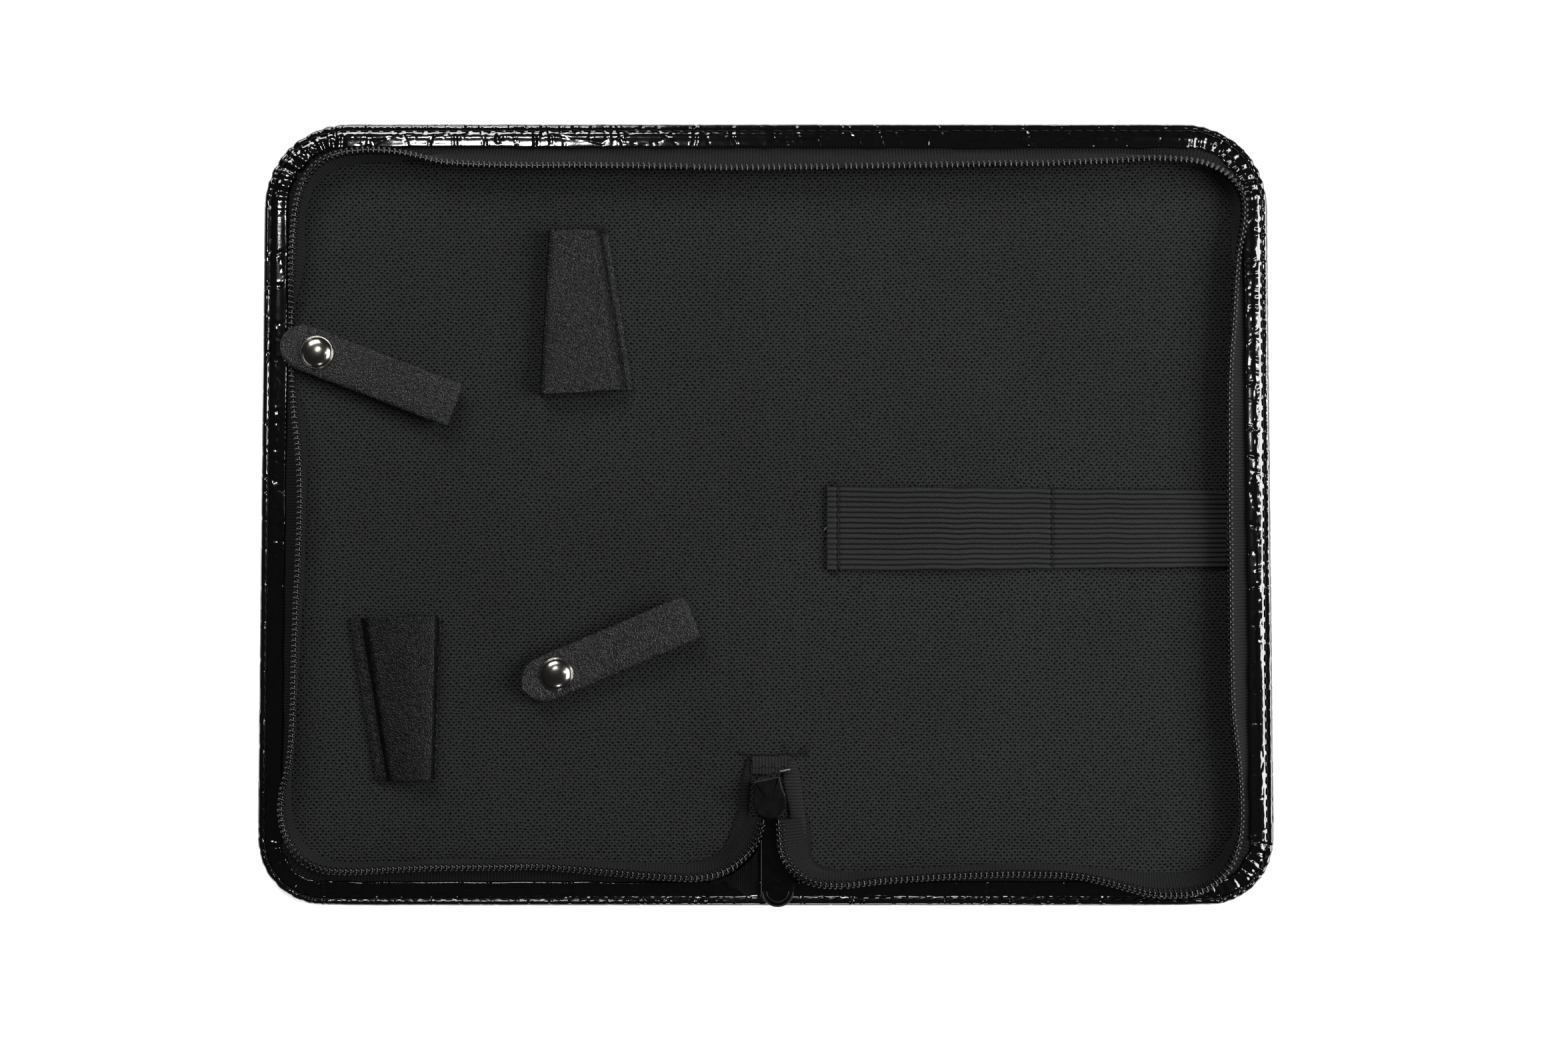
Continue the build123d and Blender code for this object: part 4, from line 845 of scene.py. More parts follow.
def zip_teeth(a, s, lo, hi, raise_by=0.97, pitch=1.66):
    """Nylon turns along the tape edge, and the cord they are sewn over."""
    at = np.arange(lo + pitch / 2, hi, pitch)
    r = curve_of(a, at, s)
    r2 = curve_of(a, np.minimum(at + 0.4, s[-1]), s)
    r1 = curve_of(a, np.maximum(at - 0.4, s[0]), s)
    d = r2[:, 4:6] - r1[:, 4:6]
    d /= np.linalg.norm(d, axis=1, keepdims=True)
    n = np.stack([-d[:, 1], d[:, 0]], 1)
    k = np.array([-1, -0.82, -0.5, -0.13, 0.13, 0.5, 0.82, 1.0])
    jitter = rng.uniform(-0.05, 0.05, (len(at), 1))
    lean = 0.16
    px = r[:, 4:5] + n[:, 0:1] * 1.05 * k + d[:, 0:1] * (lean * k + jitter)
    py = r[:, 5:6] + n[:, 1:2] * 1.05 * k + d[:, 1:2] * (lean * k + jitter)
    pz = r[:, 6:7] + raise_by - 0.30 * np.abs(k) ** 2.4 + 0 * px
    rad = np.array([0.04, 0.46, 0.60, 0.43, 0.43, 0.60, 0.46, 0.04])
    parts = [tubes(np.stack([px, py, pz], -1), rad[None] + 0 * px, 8)]
    # the row of sewing that holds the turns, on the tape's upper face
    q = 0.17
    base = np.column_stack([r[:, 4:6] + (r[:, 2:4] - r[:, 4:6]) * q, r[:, 6] + 0.15 - (r[:, 6] - 3.9) * q])
    down = np.column_stack([r[:, 2:4] - r[:, 4:6], 3.9 - r[:, 6]])
    down /= np.linalg.norm(down, axis=1, keepdims=True)
    along3 = np.column_stack([d, 0 * d[:, 0]])
    up3 = np.cross(along3, down)
    up3 *= np.where(up3[:, 2:3] < 0, -1.0, 1.0)
    g = np.linspace(-1, 1, 5)
    loops = (base[:, None] + up3[:, None] * (0.3 + 0.12 * (1 - g ** 2))[None, :, None]
             + down[:, None] * (0.62 * g)[None, :, None] + along3[:, None] * (0.22 * g)[None, :, None])
    parts.append(tubes(loops, np.array([0.1, 0.27, 0.3, 0.27, 0.1])[None] + 0 * loops[..., 0], 6))
    cord_at = np.linspace(lo, hi, max(int((hi - lo) / 1.2), 3))
    c = curve_of(a, cord_at, s)
    parts.append(tubes(np.stack([c[:, 4], c[:, 5], c[:, 6] + raise_by - 0.42], -1)[None], 0.42, 8))
    return join(parts)


LEFT_CHAIN = [p for p in SPINE_TOP_PATH if p[0] < 8] + LEFT_PATH
RIGHT_CHAIN = [SPINE_TOP_PATH[3], SPINE_TOP_PATH[2], SPINE_TOP_PATH[1], SPINE_TOP_PATH[0]] + RIGHT_PATH
for side, chain in ((-1, LEFT_CHAIN), (1, RIGHT_CHAIN)):
    name = SIDE_NAME[side]
    c = np.asarray(chain, float)
    tops = left_top(c[:, 4], c[:, 5]) if side < 0 else np.full(len(c), WALL_TOP)
    run, at, a, s = zip_run(chain, tops, 0.7)
    tx = run[:, 4] * side
    ty = run[:, 5]
    s_mid = np.interp(0.0, tx[ty > 0][:60], at[ty > 0][:60])
    s_fold = np.interp(24.0, tx[ty > 0][:90], at[ty > 0][:90])
    for piece, lo, hi in (("top", s_mid, s_fold), ("side", s_fold, s[-1])):
        n = max(int((hi - lo) / 0.7), 4)
        at2 = np.linspace(lo, hi, n + 1)
        r = curve_of(a, at2, s)
        v, f, att = zip_tape(r, at2, 60 + side)
        tape = make(f"zip_tape_{piece}_{name}", v, f, TAPE, att, sharp=50)
        v, f, _ = zip_teeth(a, s, lo, hi)
        teeth = make(f"zip_teeth_{piece}_{name}", v, f, COIL)
        if piece == "top":
            bend(tape, side, 24.0, 0.0)
            bend(teeth, side, 24.0, 0.0)
            if side < 0:
                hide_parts("spine_zip_tape")
                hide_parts("spine_zip_coil")
        else:
            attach(tape, HALF[side])
            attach(teeth, HALF[side])
            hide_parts(f"{name}_zip_tape")
            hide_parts(f"{name}_zip_coil")

for side, path in ((-1, GUSSET_LEFT_PATH), (1, GUSSET_RIGHT_PATH)):
    name = SIDE_NAME[side]
    path = [(LEFT_PATH if side < 0 else RIGHT_PATH)[-1]] + path
    c = np.asarray(path, float)
    r = np.concatenate([[0], np.cumsum(np.hypot(np.diff(c[:, 4]), np.diff(c[:, 5])))])
    tops = WALL_TOP + (6.85 - WALL_TOP) * sstep(r / r[-1])
    tops = np.where(r < 2.5, WALL_TOP, tops)
    run, at, a, s = zip_run(path, tops, 0.6, ramp=True)
    v, f, att = zip_tape(run, at, 70 + side, 3.95)
    parts = [(v, f, att)]
    tape = make(f"gusset_tape_{name}", *join(parts)[:2], TAPE, join(parts)[2], sharp=50)
    v, f, _ = zip_teeth(a, s, 0, s[-1], 1.2)
    teeth = make(f"gusset_teeth_{name}", v, f, COIL)
    for ob, sl in ((tape, "zip_tape"), (teeth, "zip_coil")):
        bend(ob, side, 24.0, 3.0)
    if side < 0:
        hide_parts("gusset_tapes")
        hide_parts("gusset_coils")

# tape strips running up beside the slider, on the lining
strips = {1: ([(8.2, -103.0), (8.0, -98.0), (7.3, -92.0), (6.3, -87.0), (5.6, -82.5), (5.2, -77.6)],
              [(12.7, -104.0), (12.5, -98.0), (11.9, -92.0), (11.2, -87.0), (10.6, -82.5), (9.4, -77.6)]),
          -1: ([(-6.9, -99.0), (-6.0, -94.0), (-5.6, -88.0), (-5.0, -82.0), (-4.4, -77.6)],
               [(-9.9, -98.0), (-8.6, -94.0), (-8.0, -88.0), (-7.2, -82.0), (-6.0, -77.6)])}
for side, (inner, outer) in strips.items():
    i, o = np.array(inner, float), np.array(outer, float)
    s = np.concatenate([[0], np.cumsum(np.linalg.norm(np.diff(i, axis=0), axis=1))])
    at = np.linspace(0, s[-1], 46)
    i, o = curve_of(i, at, s), curve_of(o, at, s)
    q = np.linspace(0, 1, 12)
    xy = i[:, None] * (1 - q[None, :, None]) + o[:, None] * q[None, :, None]
    z = 4.02 + 0.42 * np.sin(math.pi * q) ** 0.6 + 0.05 * noise(at[:, None] / 4, q[None] * 3, 81) + 0 * xy[..., 0]
    P = np.dstack([xy, z])
    att = np.stack([np.broadcast_to(at[:, None], z.shape), np.broadcast_to(q[None] * 4.6, z.shape), 0 * z], -1)
    v, f, aa = shell(P, 0.4, att)
    ob = make(f"tape_strip_{SIDE_NAME[side]}", v, f, TAPE_END if side > 0 else TAPE, aa, sharp=50)
    bend(ob, side, 15.0, 9.0)

# folded tape ends above the slider: two soft layers
q = np.linspace(0, 1, 16)
w = np.linspace(0, 1, 40)
layers = []
for (x0, x1, y0, y1, z, seed) in ((-4.6, 7.4, -81.0, -76.2, 4.75, 1), (-4.2, 7.0, -79.2, -76.0, 5.15, 2)):
    X = x0 + (x1 - x0) * w[:, None] + 0.25 * noise(q[None] * 4, w[:, None] * 3, seed)
    Y = y0 + (y1 - y0) * q[None] + 0.45 * noise(w[:, None] * 7, q[None] * 0, seed + 4) * (1 - q[None])
    Z = z + 0.18 * noise(w[:, None] * 6, q[None] * 2, seed + 8) - 0.5 * sstep((q[None] - 0.75) / 0.25) + 0 * X
    att = np.stack([X * 1.0, Y * 1.0, 0 * X], -1)
    layers.append(shell(np.dstack([X, Y, Z]), 0.42, att))
v, f, a = join(layers)
ob = make("tape_ends", v, f, TAPE_END, a, sharp=50)
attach(ob, "spine")
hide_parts("tape_end_tab")

# bar of tacking stitches, and loose thread ends
k = np.linspace(-1, 1, 7)
paths, rad = [], []
for i in range(15):
    cx = -7.2 + i * 1.42 + rng.uniform(-0.2, 0.2)
    cy = -75.3 + rng.uniform(-0.35, 0.35)
    ang = rng.uniform(-0.35, 0.35)
    hl = rng.uniform(0.6, 0.95)
    paths.append(np.column_stack([cx + hl * k * math.cos(ang), cy + hl * k * math.sin(ang), 3.95 + 0.15 * (1 - k ** 2)]))
    rad.append(0.2 * np.sqrt(np.clip(1.03 - k ** 4, 0.03, 1)))
for x0, y0, dx, dy in ((7.1, -75.2, -0.6, 3.2), (10.6, -75.0, 2.0, 1.6), (12.0, -74.6, 1.5, 1.9), (-7.4, -75.0, -1.6, 0.6)):
    paths.append(np.column_stack([x0 + dx * (k + 1) / 2, y0 + dy * (k + 1) / 2 + 0.3 * np.sin(3 * k), 4.0 + 0.5 * (1 - k ** 2)]))
    rad.append(np.full(7, 0.17))
paths, rad = np.array(paths), np.array(rad)
far = paths[:, :, 0].max(axis=1) > 9.0
v, f = tubes(paths[far], rad[far])
ob = make("tack_threads_right", v, f, BLACK_THREAD)
bend(ob, 1, 15.0, 9.0)
v, f = tubes(paths[~far], rad[~far])
ob = make("tack_stitches", v, f, BLACK_THREAD)
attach(ob, "spine")
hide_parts("bar_tack")
v, f = tubes([np.column_stack([4.4 + 1.6 * (k + 1), -80.2 + 0.25 * np.sin(2 * k), 5.55 + 0.2 * (1 - k ** 2)])], 0.2)
ob = make("pale_thread_end", v, f, PALE_THREAD)
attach(ob, "spine")

# loose corner of gusset cloth
edge = [(-2.3, -105.0), (-3.0, -106.0), (-4.3, -107.8), (-5.6, -109.0), (-7.2, -110.3), (-8.8, -111.5), (-10.4, -112.7),
        (-12.1, -113.6), (-14.0, -114.2), (-16.4, -114.6), (-17.2, -115.2), (-16.6, -116.0), (-15.2, -116.1), (-14.0, -115.6),
        (-12.6, -115.6), (-11.2, -116.4), (-9.8, -117.6), (-8.2, -118.5), (-6.6, -119.2), (-5.2, -119.2), (-3.6, -118.6),
        (-2.3, -118.4), (-2.0, -112.0)]
e = np.array(edge, float)
s = np.concatenate([[0], np.cumsum(np.linalg.norm(np.diff(e, axis=0), axis=1))])
e = curve_of(e, np.linspace(0, s[-1], 90), s)
top_e = np.array([(-2.3, -105.0), (-5.6, -109.0), (-10.4, -112.7), (-14.0, -114.2), (-17.2, -115.2)], float)
low_e = np.array([(-2.0, -118.4), (-6.0, -119.3), (-10.2, -117.3), (-13.6, -115.7), (-17.3, -115.9)], float)
kk = np.linspace(0, 1, 5)
at = np.linspace(0, 1, 60)
te, le = curve_of(top_e, at, kk), curve_of(low_e, at, kk)
le[:, 1] += 0.35 * np.sin(at * 19) * np.sin(math.pi * at)
q = np.linspace(0, 1, 26)
xy = te[:, None] * (1 - q[None, :, None]) + le[:, None] * q[None, :, None]
z = 5.5 + 0.28 * np.sin(at[:, None] * 11 + q[None] * 3) * q[None] + 0.12 * noise(xy[..., 0] / 2, xy[..., 1] / 2, 90)
att = np.dstack([xy, z])
v, f, a = shell(np.dstack([xy, z]), 0.3, att)
ob = make("gusset_cloth", v, f, DIAMOND, a, sharp=50)
bend(ob, -1, 24.0, 3.0)
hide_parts("gusset_patch")

# ------------------------------------------------------------ slider and pull
sx, sy = SLIDER
turn = math.radians(7.0)


def turned(pts):
    p = np.asarray(pts, float)
    return np.column_stack([sx + p[:, 0] * math.cos(turn) - p[:, 1] * math.sin(turn),
                            sy + p[:, 0] * math.sin(turn) + p[:, 1] * math.cos(turn)])


plan = []
for i in range(0, 33):
    t = math.pi + math.pi * i / 32
    plan.append((5.2 * math.cos(t), -1.2 + 5.2 * math.sin(t)))
plan += [(5.0, 0.8), (4.5, 2.2), (4.3, 3.4), (4.1, 5.4), (3.9, 6.1), (3.2, 6.3), (0.0, 6.0), (-3.2, 5.8), (-4.2, 5.6), (-4.4, 4.6),
         (-4.5, 2.4), (-4.8, 0.6)]
dense = []
for i in range(len(plan)):
    a0, b0 = np.array(plan[i]), np.array(plan[(i + 1) % len(plan)])
    for j in range(3):
        dense.append(a0 + (b0 - a0) * j / 3)
v, q4, fans = prism(turned(dense), 8.75, 9.55, 0.24)
ob = make("slider_plate", v, q4, LACQUER, extra=fans, sharp=20)
me = ob.data
# bevel faces along the upper and right-hand edges take the lighter edge material: a painted highlight where the light
# catches them
me.materials.append(EDGE)
for p in me.polygons:
    side_face = 0.2 < p.normal.z < 0.97 and p.center.z > 0.0092
    p.material_index = 1 if side_face and (p.center.y > -0.0845 or (p.center.x > 0.0025 and p.center.y > -0.0875)) else 0
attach(ob, "slider")
lower = [(sx + 5.2 * math.cos(math.pi + math.pi * i / 24), sy - 1.2 + 5.2 * math.sin(math.pi + math.pi * i / 24)) for i in range(25)]
lower = [(px, py) for px, py in lower if py > -92.2]
lower = sorted([q for q in lower if q[0] < sx], key=lambda q: -q[1]) + sorted([q for q in lower if q[0] > sx], key=lambda q: q[1])
lower += [(sx + 3.4, sy + 5.9), (sx - 3.4, sy + 5.9)]
v, q4, fans = prism(lower, 6.0, 6.9, 0.15)
ob = make("slider_lower_plate", v, q4, LACQUER, extra=fans, sharp=30)
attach(ob, "slider")
v, q4, fans = prism([(sx - 1.2, sy - 4.6), (sx, sy - 5.4), (sx + 1.2, sy - 4.6), (sx + 0.5, sy - 1.2), (sx - 0.5, sy - 1.2)], 6.85, 8.8, 0.1)
ob = make("slider_post", v, q4, LACQUER, extra=fans, sharp=30)
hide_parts("slider_body")
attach(ob, "slider")

pull_plan = []
PX, PE = 3.68, -123.0
for i in range(0, 33):
    t = math.pi + math.pi * i / 32
    pull_plan.append((PX + 5.2 * math.cos(t), PE + 5.2 + 5.2 * math.sin(t)))
pull_plan += [(8.85, -114.5), (7.8, -110.2), (4.9, -104.0), (4.3, -99.5), (3.6, -92.9), (-1.3, -92.9), (-1.4, -98.0),
              (-1.45, -104.0), (-1.6, -110.0), (-1.6, -114.0)]
dense = []
for i in range(len(pull_plan)):
    a0, b0 = np.array(pull_plan[i]), np.array(pull_plan[(i + 1) % len(pull_plan)])
    n = 1 if i < 32 else 4
    for j in range(n):
        dense.append(a0 + (b0 - a0) * j / n)


def lean(v):
    v = v.copy()
    v[:, 2] += (-(v[:, 1] + 93.2)) * math.tan(math.radians(2.5))
    return v


v, q4, fans = prism(dense, 5.0, 5.85, 0.3, tilt=lean)
ob = make("pull_paddle", v, q4, GLOSS, extra=fans, sharp=20)
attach(ob, "pull")
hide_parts("pull_tab")
# raised lip round the paddle's end
arcs = []
for rr, zz in ((4.75, 0.9), (3.5, 0.86)):
    t = np.linspace(math.pi * 1.02, math.pi * 1.98, 25)
    ax, ay = PX + rr * np.cos(t), PE + 5.2 + rr * np.sin(t)
    arcs.append(np.column_stack([ax, ay, 5.02 + zz + (-(ay + 93.2)) * math.tan(math.radians(2.5))]))
v, f = tubes(np.array(arcs), 0.11)
# the lip is drawn in the lighter edge material: a painted highlight along it
ob = make("pull_lip", v, f, EDGE)
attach(ob, "pull")
# a thin line of the lighter edge material along the paddle's left edge: a painted highlight
line = np.column_stack([np.full(9, -1.45), np.linspace(-102, -119, 9), 5.86 + (np.linspace(8.8, 25.8, 9)) * math.tan(math.radians(2.5))])
v, f = tubes([line], 0.13)
ob = make("pull_edge_highlight", v, f, EDGE)
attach(ob, "pull")

# ------------------------------------------------------------ tip pockets
POCKETS = {"upper": ((-68.5, 89.0), (-49.8, 89.3), (-71.2, 37.6), (-41.8, 39.4), False),
           "lower": ((-122.2, -83.8), (-103.5, -82.6), (-130.6, -32.8), (-102.0, -31.6), True)}
for name, (lt, rt, lm, rm, flip) in POCKETS.items():
    lt, rt, lm, rm = (np.array(p, float) for p in (lt, rt, lm, rm))
    v1 = np.linspace(0, 1, 60)
    # distance across from the steep side: 0 flange edge ... 1 flange edge
    across = np.concatenate([np.linspace(0, 0.9, 5), [1.1, 1.3], np.linspace(1.45, 1.75, 5)])
    P = []
    for t in v1:
        a0 = lt + (lm - lt) * t
        b0 = rt + (rm - rt) * t
        if flip:
            a0, b0 = b0, a0
        w = float(np.linalg.norm(b0 - a0))
        u = (b0 - a0) / w
        rise = (4.0 + 0.9 * t) * (1 - 0.10 * math.sin(math.pi * t))
        steep = 0.9 if not flip else 1.35
        soft = 2.2 if not flip else 3.4
        x0, x1 = steep, w - soft
        row = []
        for s_ in np.linspace(0, x0, 4)[:-1]:
            row.append((s_, 0.0))
        for z_ in (0.0, 0.2, 0.45, 0.7, 0.86, 0.95):
            lean_out = -0.5 * math.sin(math.pi * z_) if not flip else -0.2 * math.sin(math.pi * z_)
            row.append((x0 + 0.3 + lean_out, rise * z_))
        for q in np.linspace(0.0, 1.0, 26)[1:]:
            top = 1.0 - (0.16 if not flip else 0.62) * q ** 1.5
            fall = 1 - sstep((q - 0.9) / 0.10) ** 1.0
            round_in = 1 - 0.05 * math.exp(-q * 30)
            row.append((x0 + 0.45 + (x1 - x0 - 0.45) * q, rise * top * round_in * (0.06 + 0.94 * fall)))
        for s_ in np.linspace(x1, w, 6)[1:]:
            row.append((s_, 0.05 * rise * (1 - (s_ - x1) / (w - x1)) + 0.12 * math.sin(math.pi * (s_ - x1) / (w - x1))))
        P.append([(a0[0] + u[0] * s_, a0[1] + u[1] * s_, LINING_TOP + 0.55 + z_) for s_, z_ in row])
    P = np.array(P)
    if flip:
        P = P[:, ::-1]
    P[..., 2] += 0.10 * noise(P[..., 0] / 7, P[..., 1] / 9, 95) * np.clip((P[..., 2] - 5) / 3, 0, 1)
    P = P[:, ::-1] if normals_of(P)[30, P.shape[1] // 2, 2] < 0 else P
    v, f, a = shell(P, 0.95, P)
    ob = make(f"tip_pocket_shell_{name}", v, f, HIDE_POCKET, a, sharp=55)
    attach(ob, "left_half")
    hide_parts(f"tip_pocket_{name}")
    # seam stitches on the soft side's flange
    a0, a1 = (rt, rm) if not flip else (lt, lm)
    c0, c1 = (lt, lm) if not flip else (rt, rm)
    length = float(np.linalg.norm(a1 - a0))
    at = np.arange(1.2, length - 0.6, 2.5)
    k = np.linspace(-1, 1, 6)
    paths = []
    for s_ in at:
        t = (s_ + 1.0 * k) / length
        e = a0 + (a1 - a0) * t[:, None]
        o = c0 + (c1 - c0) * t[:, None]
        u = (o - e) / np.linalg.norm(o - e, axis=1, keepdims=True)
        off = (1.9 if name == 'upper' else 2.7) + rng.uniform(-0.12, 0.12)
        p = e + u * (off + 0.18 * k[:, None] * rng.uniform(-1, 1))
        paths.append(np.column_stack([p, LINING_TOP + 1.22 + 0.22 * (1 - k ** 2)]))
    v, f = tubes(np.array(paths), 0.34 * np.sqrt(np.clip(1.05 - k ** 4, 0.05, 1))[None])
    ob = make(f"pocket_stitches_{name}", v, f, BLACK_THREAD)
    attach(ob, "left_half")
    # knot and tails at the tip end of the seam
    kx, ky = (a0 + (c0 - a0) * 0.08)
    g = np.linspace(-1, 1, 9)
    paths = []
    for i in range(6):
        an = rng.uniform(0, 2 * math.pi)
        r0 = rng.uniform(0.4, 0.9)
        paths.append(np.column_stack([kx + r0 * np.cos(g * 2.4 + an), ky + 0.2 + r0 * np.sin(g * 2.4 + an) * 0.9, 5.0 + 0.3 * g * rng.uniform(-1, 1) + 0.1 * i]))
    for dx, dy in ((0.5, 2.2), (-0.4, 1.4)):
        paths.append(np.column_stack([kx + dx * (g + 1) / 2, ky + dy * (g + 1) / 2, 4.9 + 0.3 * (1 - g ** 2)]))
    v, f = tubes(np.array(paths), 0.2)
    ob = make(f"pocket_knot_{name}", v, f, BLACK_THREAD)
    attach(ob, "left_half")

# ------------------------------------------------------------ straps and snaps
for number, (cx, cy, deg) in STRAPS.items():
    ca, sa = math.cos(math.radians(deg)), math.sin(math.radians(deg))

    def place(p):
        p = np.asarray(p, float)
        return np.stack([cx + p[..., 0] * ca - p[..., 1] * sa, cy + p[..., 0] * sa + p[..., 1] * ca, p[..., 2]], -1)

    def base_z(x):
        return 4.4 + 2.99 * sstep((x - 10) / 38.0) ** 1.0 * (x > 10)

    def flap_z(x):
        z = 7.5 + 1.79 * sstep((x - 4) / 44.0) * (x > 4)
        return z + (1.9 if number == 1 else 0.2) * np.clip((-x - 5.3) / 6.2, 0, 1) ** 1.3

    u = np.linspace(0, 1, 26)
    xb = np.concatenate([-7.0 + 7.0 * (1 - np.cos(u * math.pi / 2)), np.linspace(0.6, 45.0, 60)])
    pb = np.column_stack([xb, base_z(xb)])
    t = np.linspace(-math.pi / 2, math.pi / 2, 15)[1:-1]
    zb, zt = base_z(np.array([45.0]))[0], flap_z(np.array([45.0]))[0]
    mid, rr = (zb + zt) / 2, (zt - zb) / 2
    loop = np.column_stack([45.0 + rr * np.cos(t), mid + rr * np.sin(t)])
    xf = np.concatenate([np.linspace(45.0, -3.6, 66), -4.25 - 7.25 * np.sin(u * math.pi / 2)])
    pf = np.column_stack([xf, flap_z(xf)])
    line = np.concatenate([pb, loop, pf])
    half = np.concatenate([
        np.where(xb < 0, np.sqrt(np.clip(49.0 - xb ** 2, 0.1, 49.0)), 7.25),
        np.full(len(loop), 7.25),
        np.where(xf < -4.25, np.sqrt(np.clip(7.25 ** 2 - (xf + 4.25) ** 2, 0.1, 60)), 7.25)])
    half[:26] = np.sqrt(np.clip(49.0 - np.clip(xb[:26], -7, 0) ** 2, 0.1, 49.0)) * (7.25 / 7.0)
    tan = np.gradient(line, axis=0)
    tan /= np.linalg.norm(tan, axis=1, keepdims=True)
    nrm = np.stack([-tan[:, 1], tan[:, 0]], 1)
    nv = 17
    c = np.sin(np.linspace(-1, 1, nv) * math.pi / 2)
    th = 0.58 * (1 - np.abs(c) ** 7) ** 0.5 + 0.02
    along = np.concatenate([[0], np.cumsum(np.linalg.norm(np.diff(line, axis=0), axis=1))])
    wob = 0.10 * noise(along / 9, along * 0, 100 + number)
    ring = []
    for sgn, order in ((1, 1), (-1, -1)):
        cc, tt = c[::order], th[::order]
        off = sgn * tt[None]
        px = line[:, 0:1] + nrm[:, 0:1] * off
        pz = line[:, 1:2] + nrm[:, 1:2] * off
        py = (half + wob)[:, None] * cc[None]
        ring.append(np.stack([px, py, pz], -1))
    R = np.concatenate(ring, axis=1)
    m = 2 * nv
    f = grid(len(line), m, cv=True)
    j = np.arange(nv - 1)
    for i, rev in ((0, True), (len(line) - 1, False)):
        q = np.stack([i * m + j, i * m + j + 1, i * m + m - 2 - j, i * m + m - 1 - j], -1)
        f = np.concatenate([f, q[:, ::-1] if rev else q])
    verts = place(R).reshape(-1, 3)
    ob = make(f"strap_{number}_band", verts, f[:, ::-1], HIDE, R.reshape(-1, 3))
    n = np.array([-math.sin(math.radians(3)) * ca, -math.sin(math.radians(3)) * sa, math.cos(math.radians(3))])
    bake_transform(ob)
    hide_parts(f"strap_{number}_base", f"strap_{number}_flap_leather")
    # domed cap with a rolled rim
    prof = [(0.02, 10.4), (0.7, 10.385), (1.4, 10.33), (2.1, 10.23), (2.8, 10.06), (3.4, 9.84), (3.9, 9.58), (4.3, 9.28), (4.6, 8.95),
            (4.74, 8.7), (4.80, 8.58), (4.90, 8.56), (5.05, 8.6), (5.2, 8.52), (5.26, 8.36), (5.2, 8.2), (5.0, 8.1), (4.0, 8.1), (0.02, 8.1)]
    p = np.array(prof)
    a = np.linspace(0, 2 * math.pi, 97)[:-1]
    V = np.stack([p[:, 0][:, None] * np.cos(a), p[:, 0][:, None] * np.sin(a), np.broadcast_to(p[:, 1][:, None], (len(p), 96))], -1)
    V[..., 2] += 0.015
    f = grid(len(p), 96, cv=True)
    ob = make(f"snap_dome_{number}", place(V).reshape(-1, 3), f, CHROME)
    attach(ob, f"strap_{number}_flap")
    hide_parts(f"snap_cap_{number}")

# ------------------------------------------------------------ elastic band
nx_, per = 230, 8
ribs = 16
X = np.linspace(19.3, 148.3, nx_)
q = np.linspace(0, 1, ribs * per + 1)
t = (X - 19.3) / 129.0
ya, yb = 8.9 - 1.2 * t, -17.5 + 1.0 * t
Y = ya[:, None] + (yb - ya)[:, None] * q[None] + 0.12 * noise(X[:, None] / 6, q[None] * 0, 110) + 0.10 * noise(X[:, None] / 9, q[None] * 16, 111)
slack = np.where(X < 89.9, 1.3 * np.sin(np.pi * np.clip((X - 22.7) / 67.2, 0, 1)) ** 2, 0.5 * np.sin(np.pi * np.clip((X - 89.9) / 58.4, 0, 1)) ** 2)
rib = np.abs(np.sin(np.pi * ribs * q)) ** 0.55
deep = 1 + 1.1 * np.exp(-((q[None] - 0.5) / 0.12) ** 2) * (X[:, None] < 80) * sstep((X[:, None] - 23) / 10)
low_rib = (rib[None] ** 0.6 - 1) * 0.34 * deep
dent = (0.34 * np.exp(-((X - 22.7) / 0.45) ** 2) + 0.42 * np.exp(-((X - 89.9) / 0.5) ** 2))[:, None]
hemmed = (0.32 * sstep((22.4 - X) / 0.4))[:, None]
ZT = LINING_TOP + 1.12 + slack[:, None] + low_rib * (1 - 0.6 * (X[:, None] < 22.4)) - dent + hemmed + 0.05 * noise(X[:, None] / 3, q[None] * 20, 112)
ZB = np.broadcast_to(LINING_TOP + 0.08 + slack[:, None], ZT.shape)
ring = np.concatenate([np.stack([np.broadcast_to(X[:, None], ZT.shape), Y, ZT], -1),
                       np.stack([np.broadcast_to(X[:, None], ZT.shape), Y, ZB], -1)[:, ::-1]], axis=1)
# third number: rib crest profile times a random tone for each rib; the knit shader turns it into painted shade between
# the ribs
att = np.stack([np.broadcast_to(X[:, None], ZT.shape), np.broadcast_to(q[None] * 26.4, ZT.shape), np.broadcast_to(rib[None], ZT.shape) * (0.86 + 0.14 * hashed(np.floor(q[None] * ribs), np.floor(q[None] * 0), 5))], -1)
att = np.concatenate([att, att[:, ::-1]], axis=1)
m = ring.shape[1]
nv = m // 2
f = grid(nx_, m, cv=True)
j = np.arange(nv - 1)
for i, rev in ((0, True), (nx_ - 1, False)):
    qd = np.stack([i * m + j, i * m + j + 1, i * m + m - 2 - j, i * m + m - 1 - j], -1)
    f = np.concatenate([f, qd[:, ::-1] if rev else qd])
ob = make("elastic_knitted_band", ring, f, KNIT, att, sharp=70)
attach(ob, "right_half")
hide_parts("elastic_band")
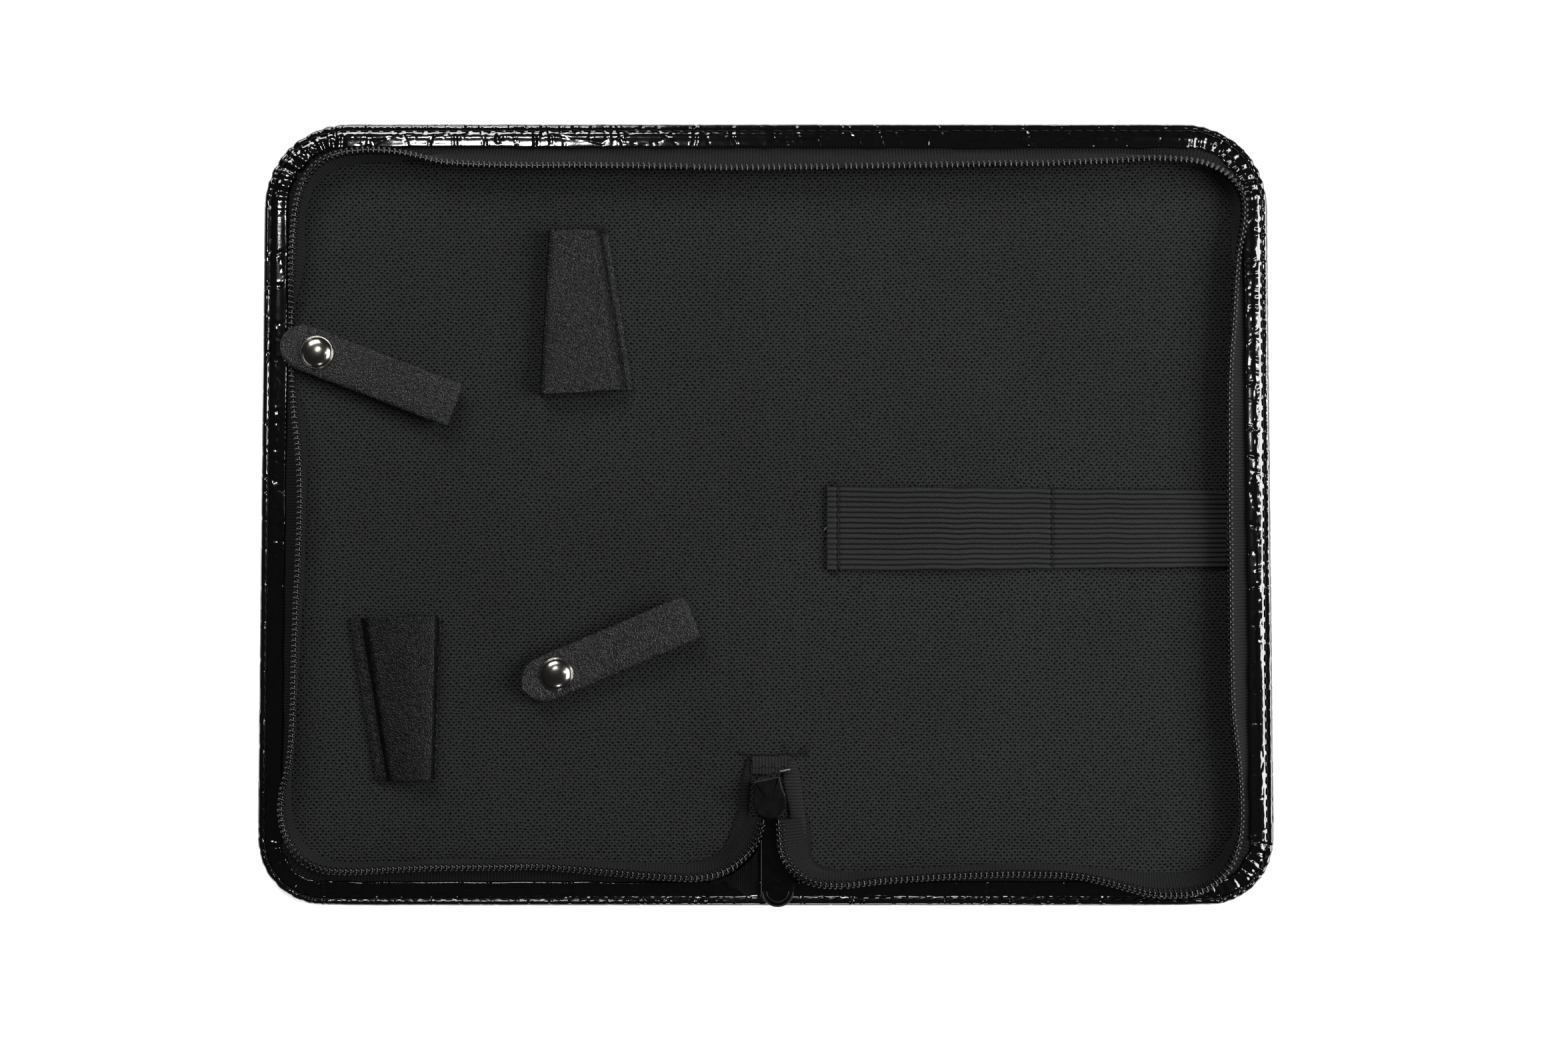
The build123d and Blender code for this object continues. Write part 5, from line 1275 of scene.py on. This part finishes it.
# stitch rows across the band: zigzag at the hem, a plain row in the middle
paths = []
k = np.linspace(-1, 1, 6)
n = 15
for i in range(n):
    y0 = 8.4 - i * (25.2 / n)
    y1 = y0 - 25.2 / n
    x0, x1 = (22.3, 23.1) if i % 2 else (23.1, 22.3)
    paths.append(np.column_stack([x0 + (x1 - x0) * (k + 1) / 2, y0 + (y1 - y0) * (k + 1) / 2, LINING_TOP + 1.12 + 0.30 * (1 - k ** 4)]))
for i in range(11):
    y0 = 7.6 - i * 2.25
    paths.append(np.column_stack([89.9 + 0.08 * k, y0 - 0.75 * (k + 1), LINING_TOP + 0.96 + 0.26 * (1 - k ** 4)]))
for x0, y0, dx, dy in ((22.6, 8.6, -0.6, 2.4), (22.4, 8.4, 0.9, 1.8), (22.3, -16.6, -0.5, -2.4), (22.6, -16.4, 1.2, -1.6), (89.9, 7.4, 0.5, 1.6)):
    paths.append(np.column_stack([x0 + dx * (k + 1) / 2, y0 + dy * (k + 1) / 2, 4.35 + 0.5 * (1 - k ** 2)]))
v, f = tubes(np.array(paths), 0.19)
ob = make("elastic_stitches", v, f, BLACK_THREAD)
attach(ob, "right_half")
v, f = tubes([np.column_stack([18.2 + 0.9 * (k + 1) / 2, -4.4 + 0.5 * k, 3.95 + 0.3 * (1 - k ** 2)])], 0.12)
ob = make("elastic_loose_fibre", v, f, PALE_THREAD)
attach(ob, "right_half")

# ------------------------------------------------------------ carried pieces
LOOKS = {"left_board": BOARD, "right_board": BOARD, "spine_padding": FOAM, "slider_bail": LACQUER}
for number in STRAPS:
    LOOKS[f"snap_post_{number}"] = RIVET
    LOOKS[f"snap_stud_{number}"] = RIVET
    LOOKS[f"snap_socket_{number}"] = RIVET
for name, ob in nodes.items():
    if ob.hide_render:
        continue
    look = LOOKS.get(name, BLACK_THREAD)
    ob.data.materials.clear()
    ob.data.materials.append(look)

# ------------------------------------------------------------ floor, light, camera
bpy.ops.mesh.primitive_plane_add(size=6.0, location=(0, 0, 0))
floor = bpy.context.object
floor.name = "studio_floor"
white = Look("studio_white", (0.88, 0.88, 0.88), 0.9)
white.b.inputs["Emission Color"].default_value = (1, 1, 1, 1)
white.b.inputs["Emission Strength"].default_value = 0.7
floor.data.materials.append(white.m)

world = bpy.data.worlds.new("studio")
bpy.context.scene.world = world
world.use_nodes = True
world.node_tree.nodes["Background"].inputs["Color"].default_value = (0.92, 0.95, 1.0, 1)
world.node_tree.nodes["Background"].inputs["Strength"].default_value = 0.03


def lamp(name, at, aim, size, size_y, watts, colour=(1, 1, 1)):
    d = bpy.data.lights.new(name, "AREA")
    d.shape = "RECTANGLE"
    d.size, d.size_y, d.energy, d.color = size, size_y, watts, colour
    o = bpy.data.objects.new(name, d)
    bpy.context.scene.collection.objects.link(o)
    o.location = at
    from mathutils import Vector
    o.rotation_euler = (Vector(aim) - Vector(at)).to_track_quat("-Z", "Y").to_euler()
    return o


lamp("key_top", (-0.38, 0.75, 0.6), (-0.05, 0.03, 0), 0.6, 0.4, 7.5)
lamp("key_right", (0.85, -0.02, 0.6), (0.05, 0, 0), 0.8, 0.55, 14.5)
lamp("low_spot", (0.04, -0.95, 0.62), (0, 0, 0), 0.2, 0.1, 1.0)
lamp("top_strip", (-0.178, 0.24, 0.82), (-0.09, 0.12, 0), 0.13, 0.06, 0.93)
lamp("side_strip", (0.49, 0.08, 0.82), (0.155, 0.04, 0), 0.06, 0.32, 0.95)

cam = bpy.data.cameras.new("camera")
cam.lens = 60.0
cam.sensor_width = 36.0
eye = bpy.data.objects.new("camera", cam)
eye.location = (0.00567, -0.002415, 0.8257)
bpy.context.scene.collection.objects.link(eye)
bpy.context.scene.camera = eye
bpy.context.scene.view_settings.view_transform = "Standard"
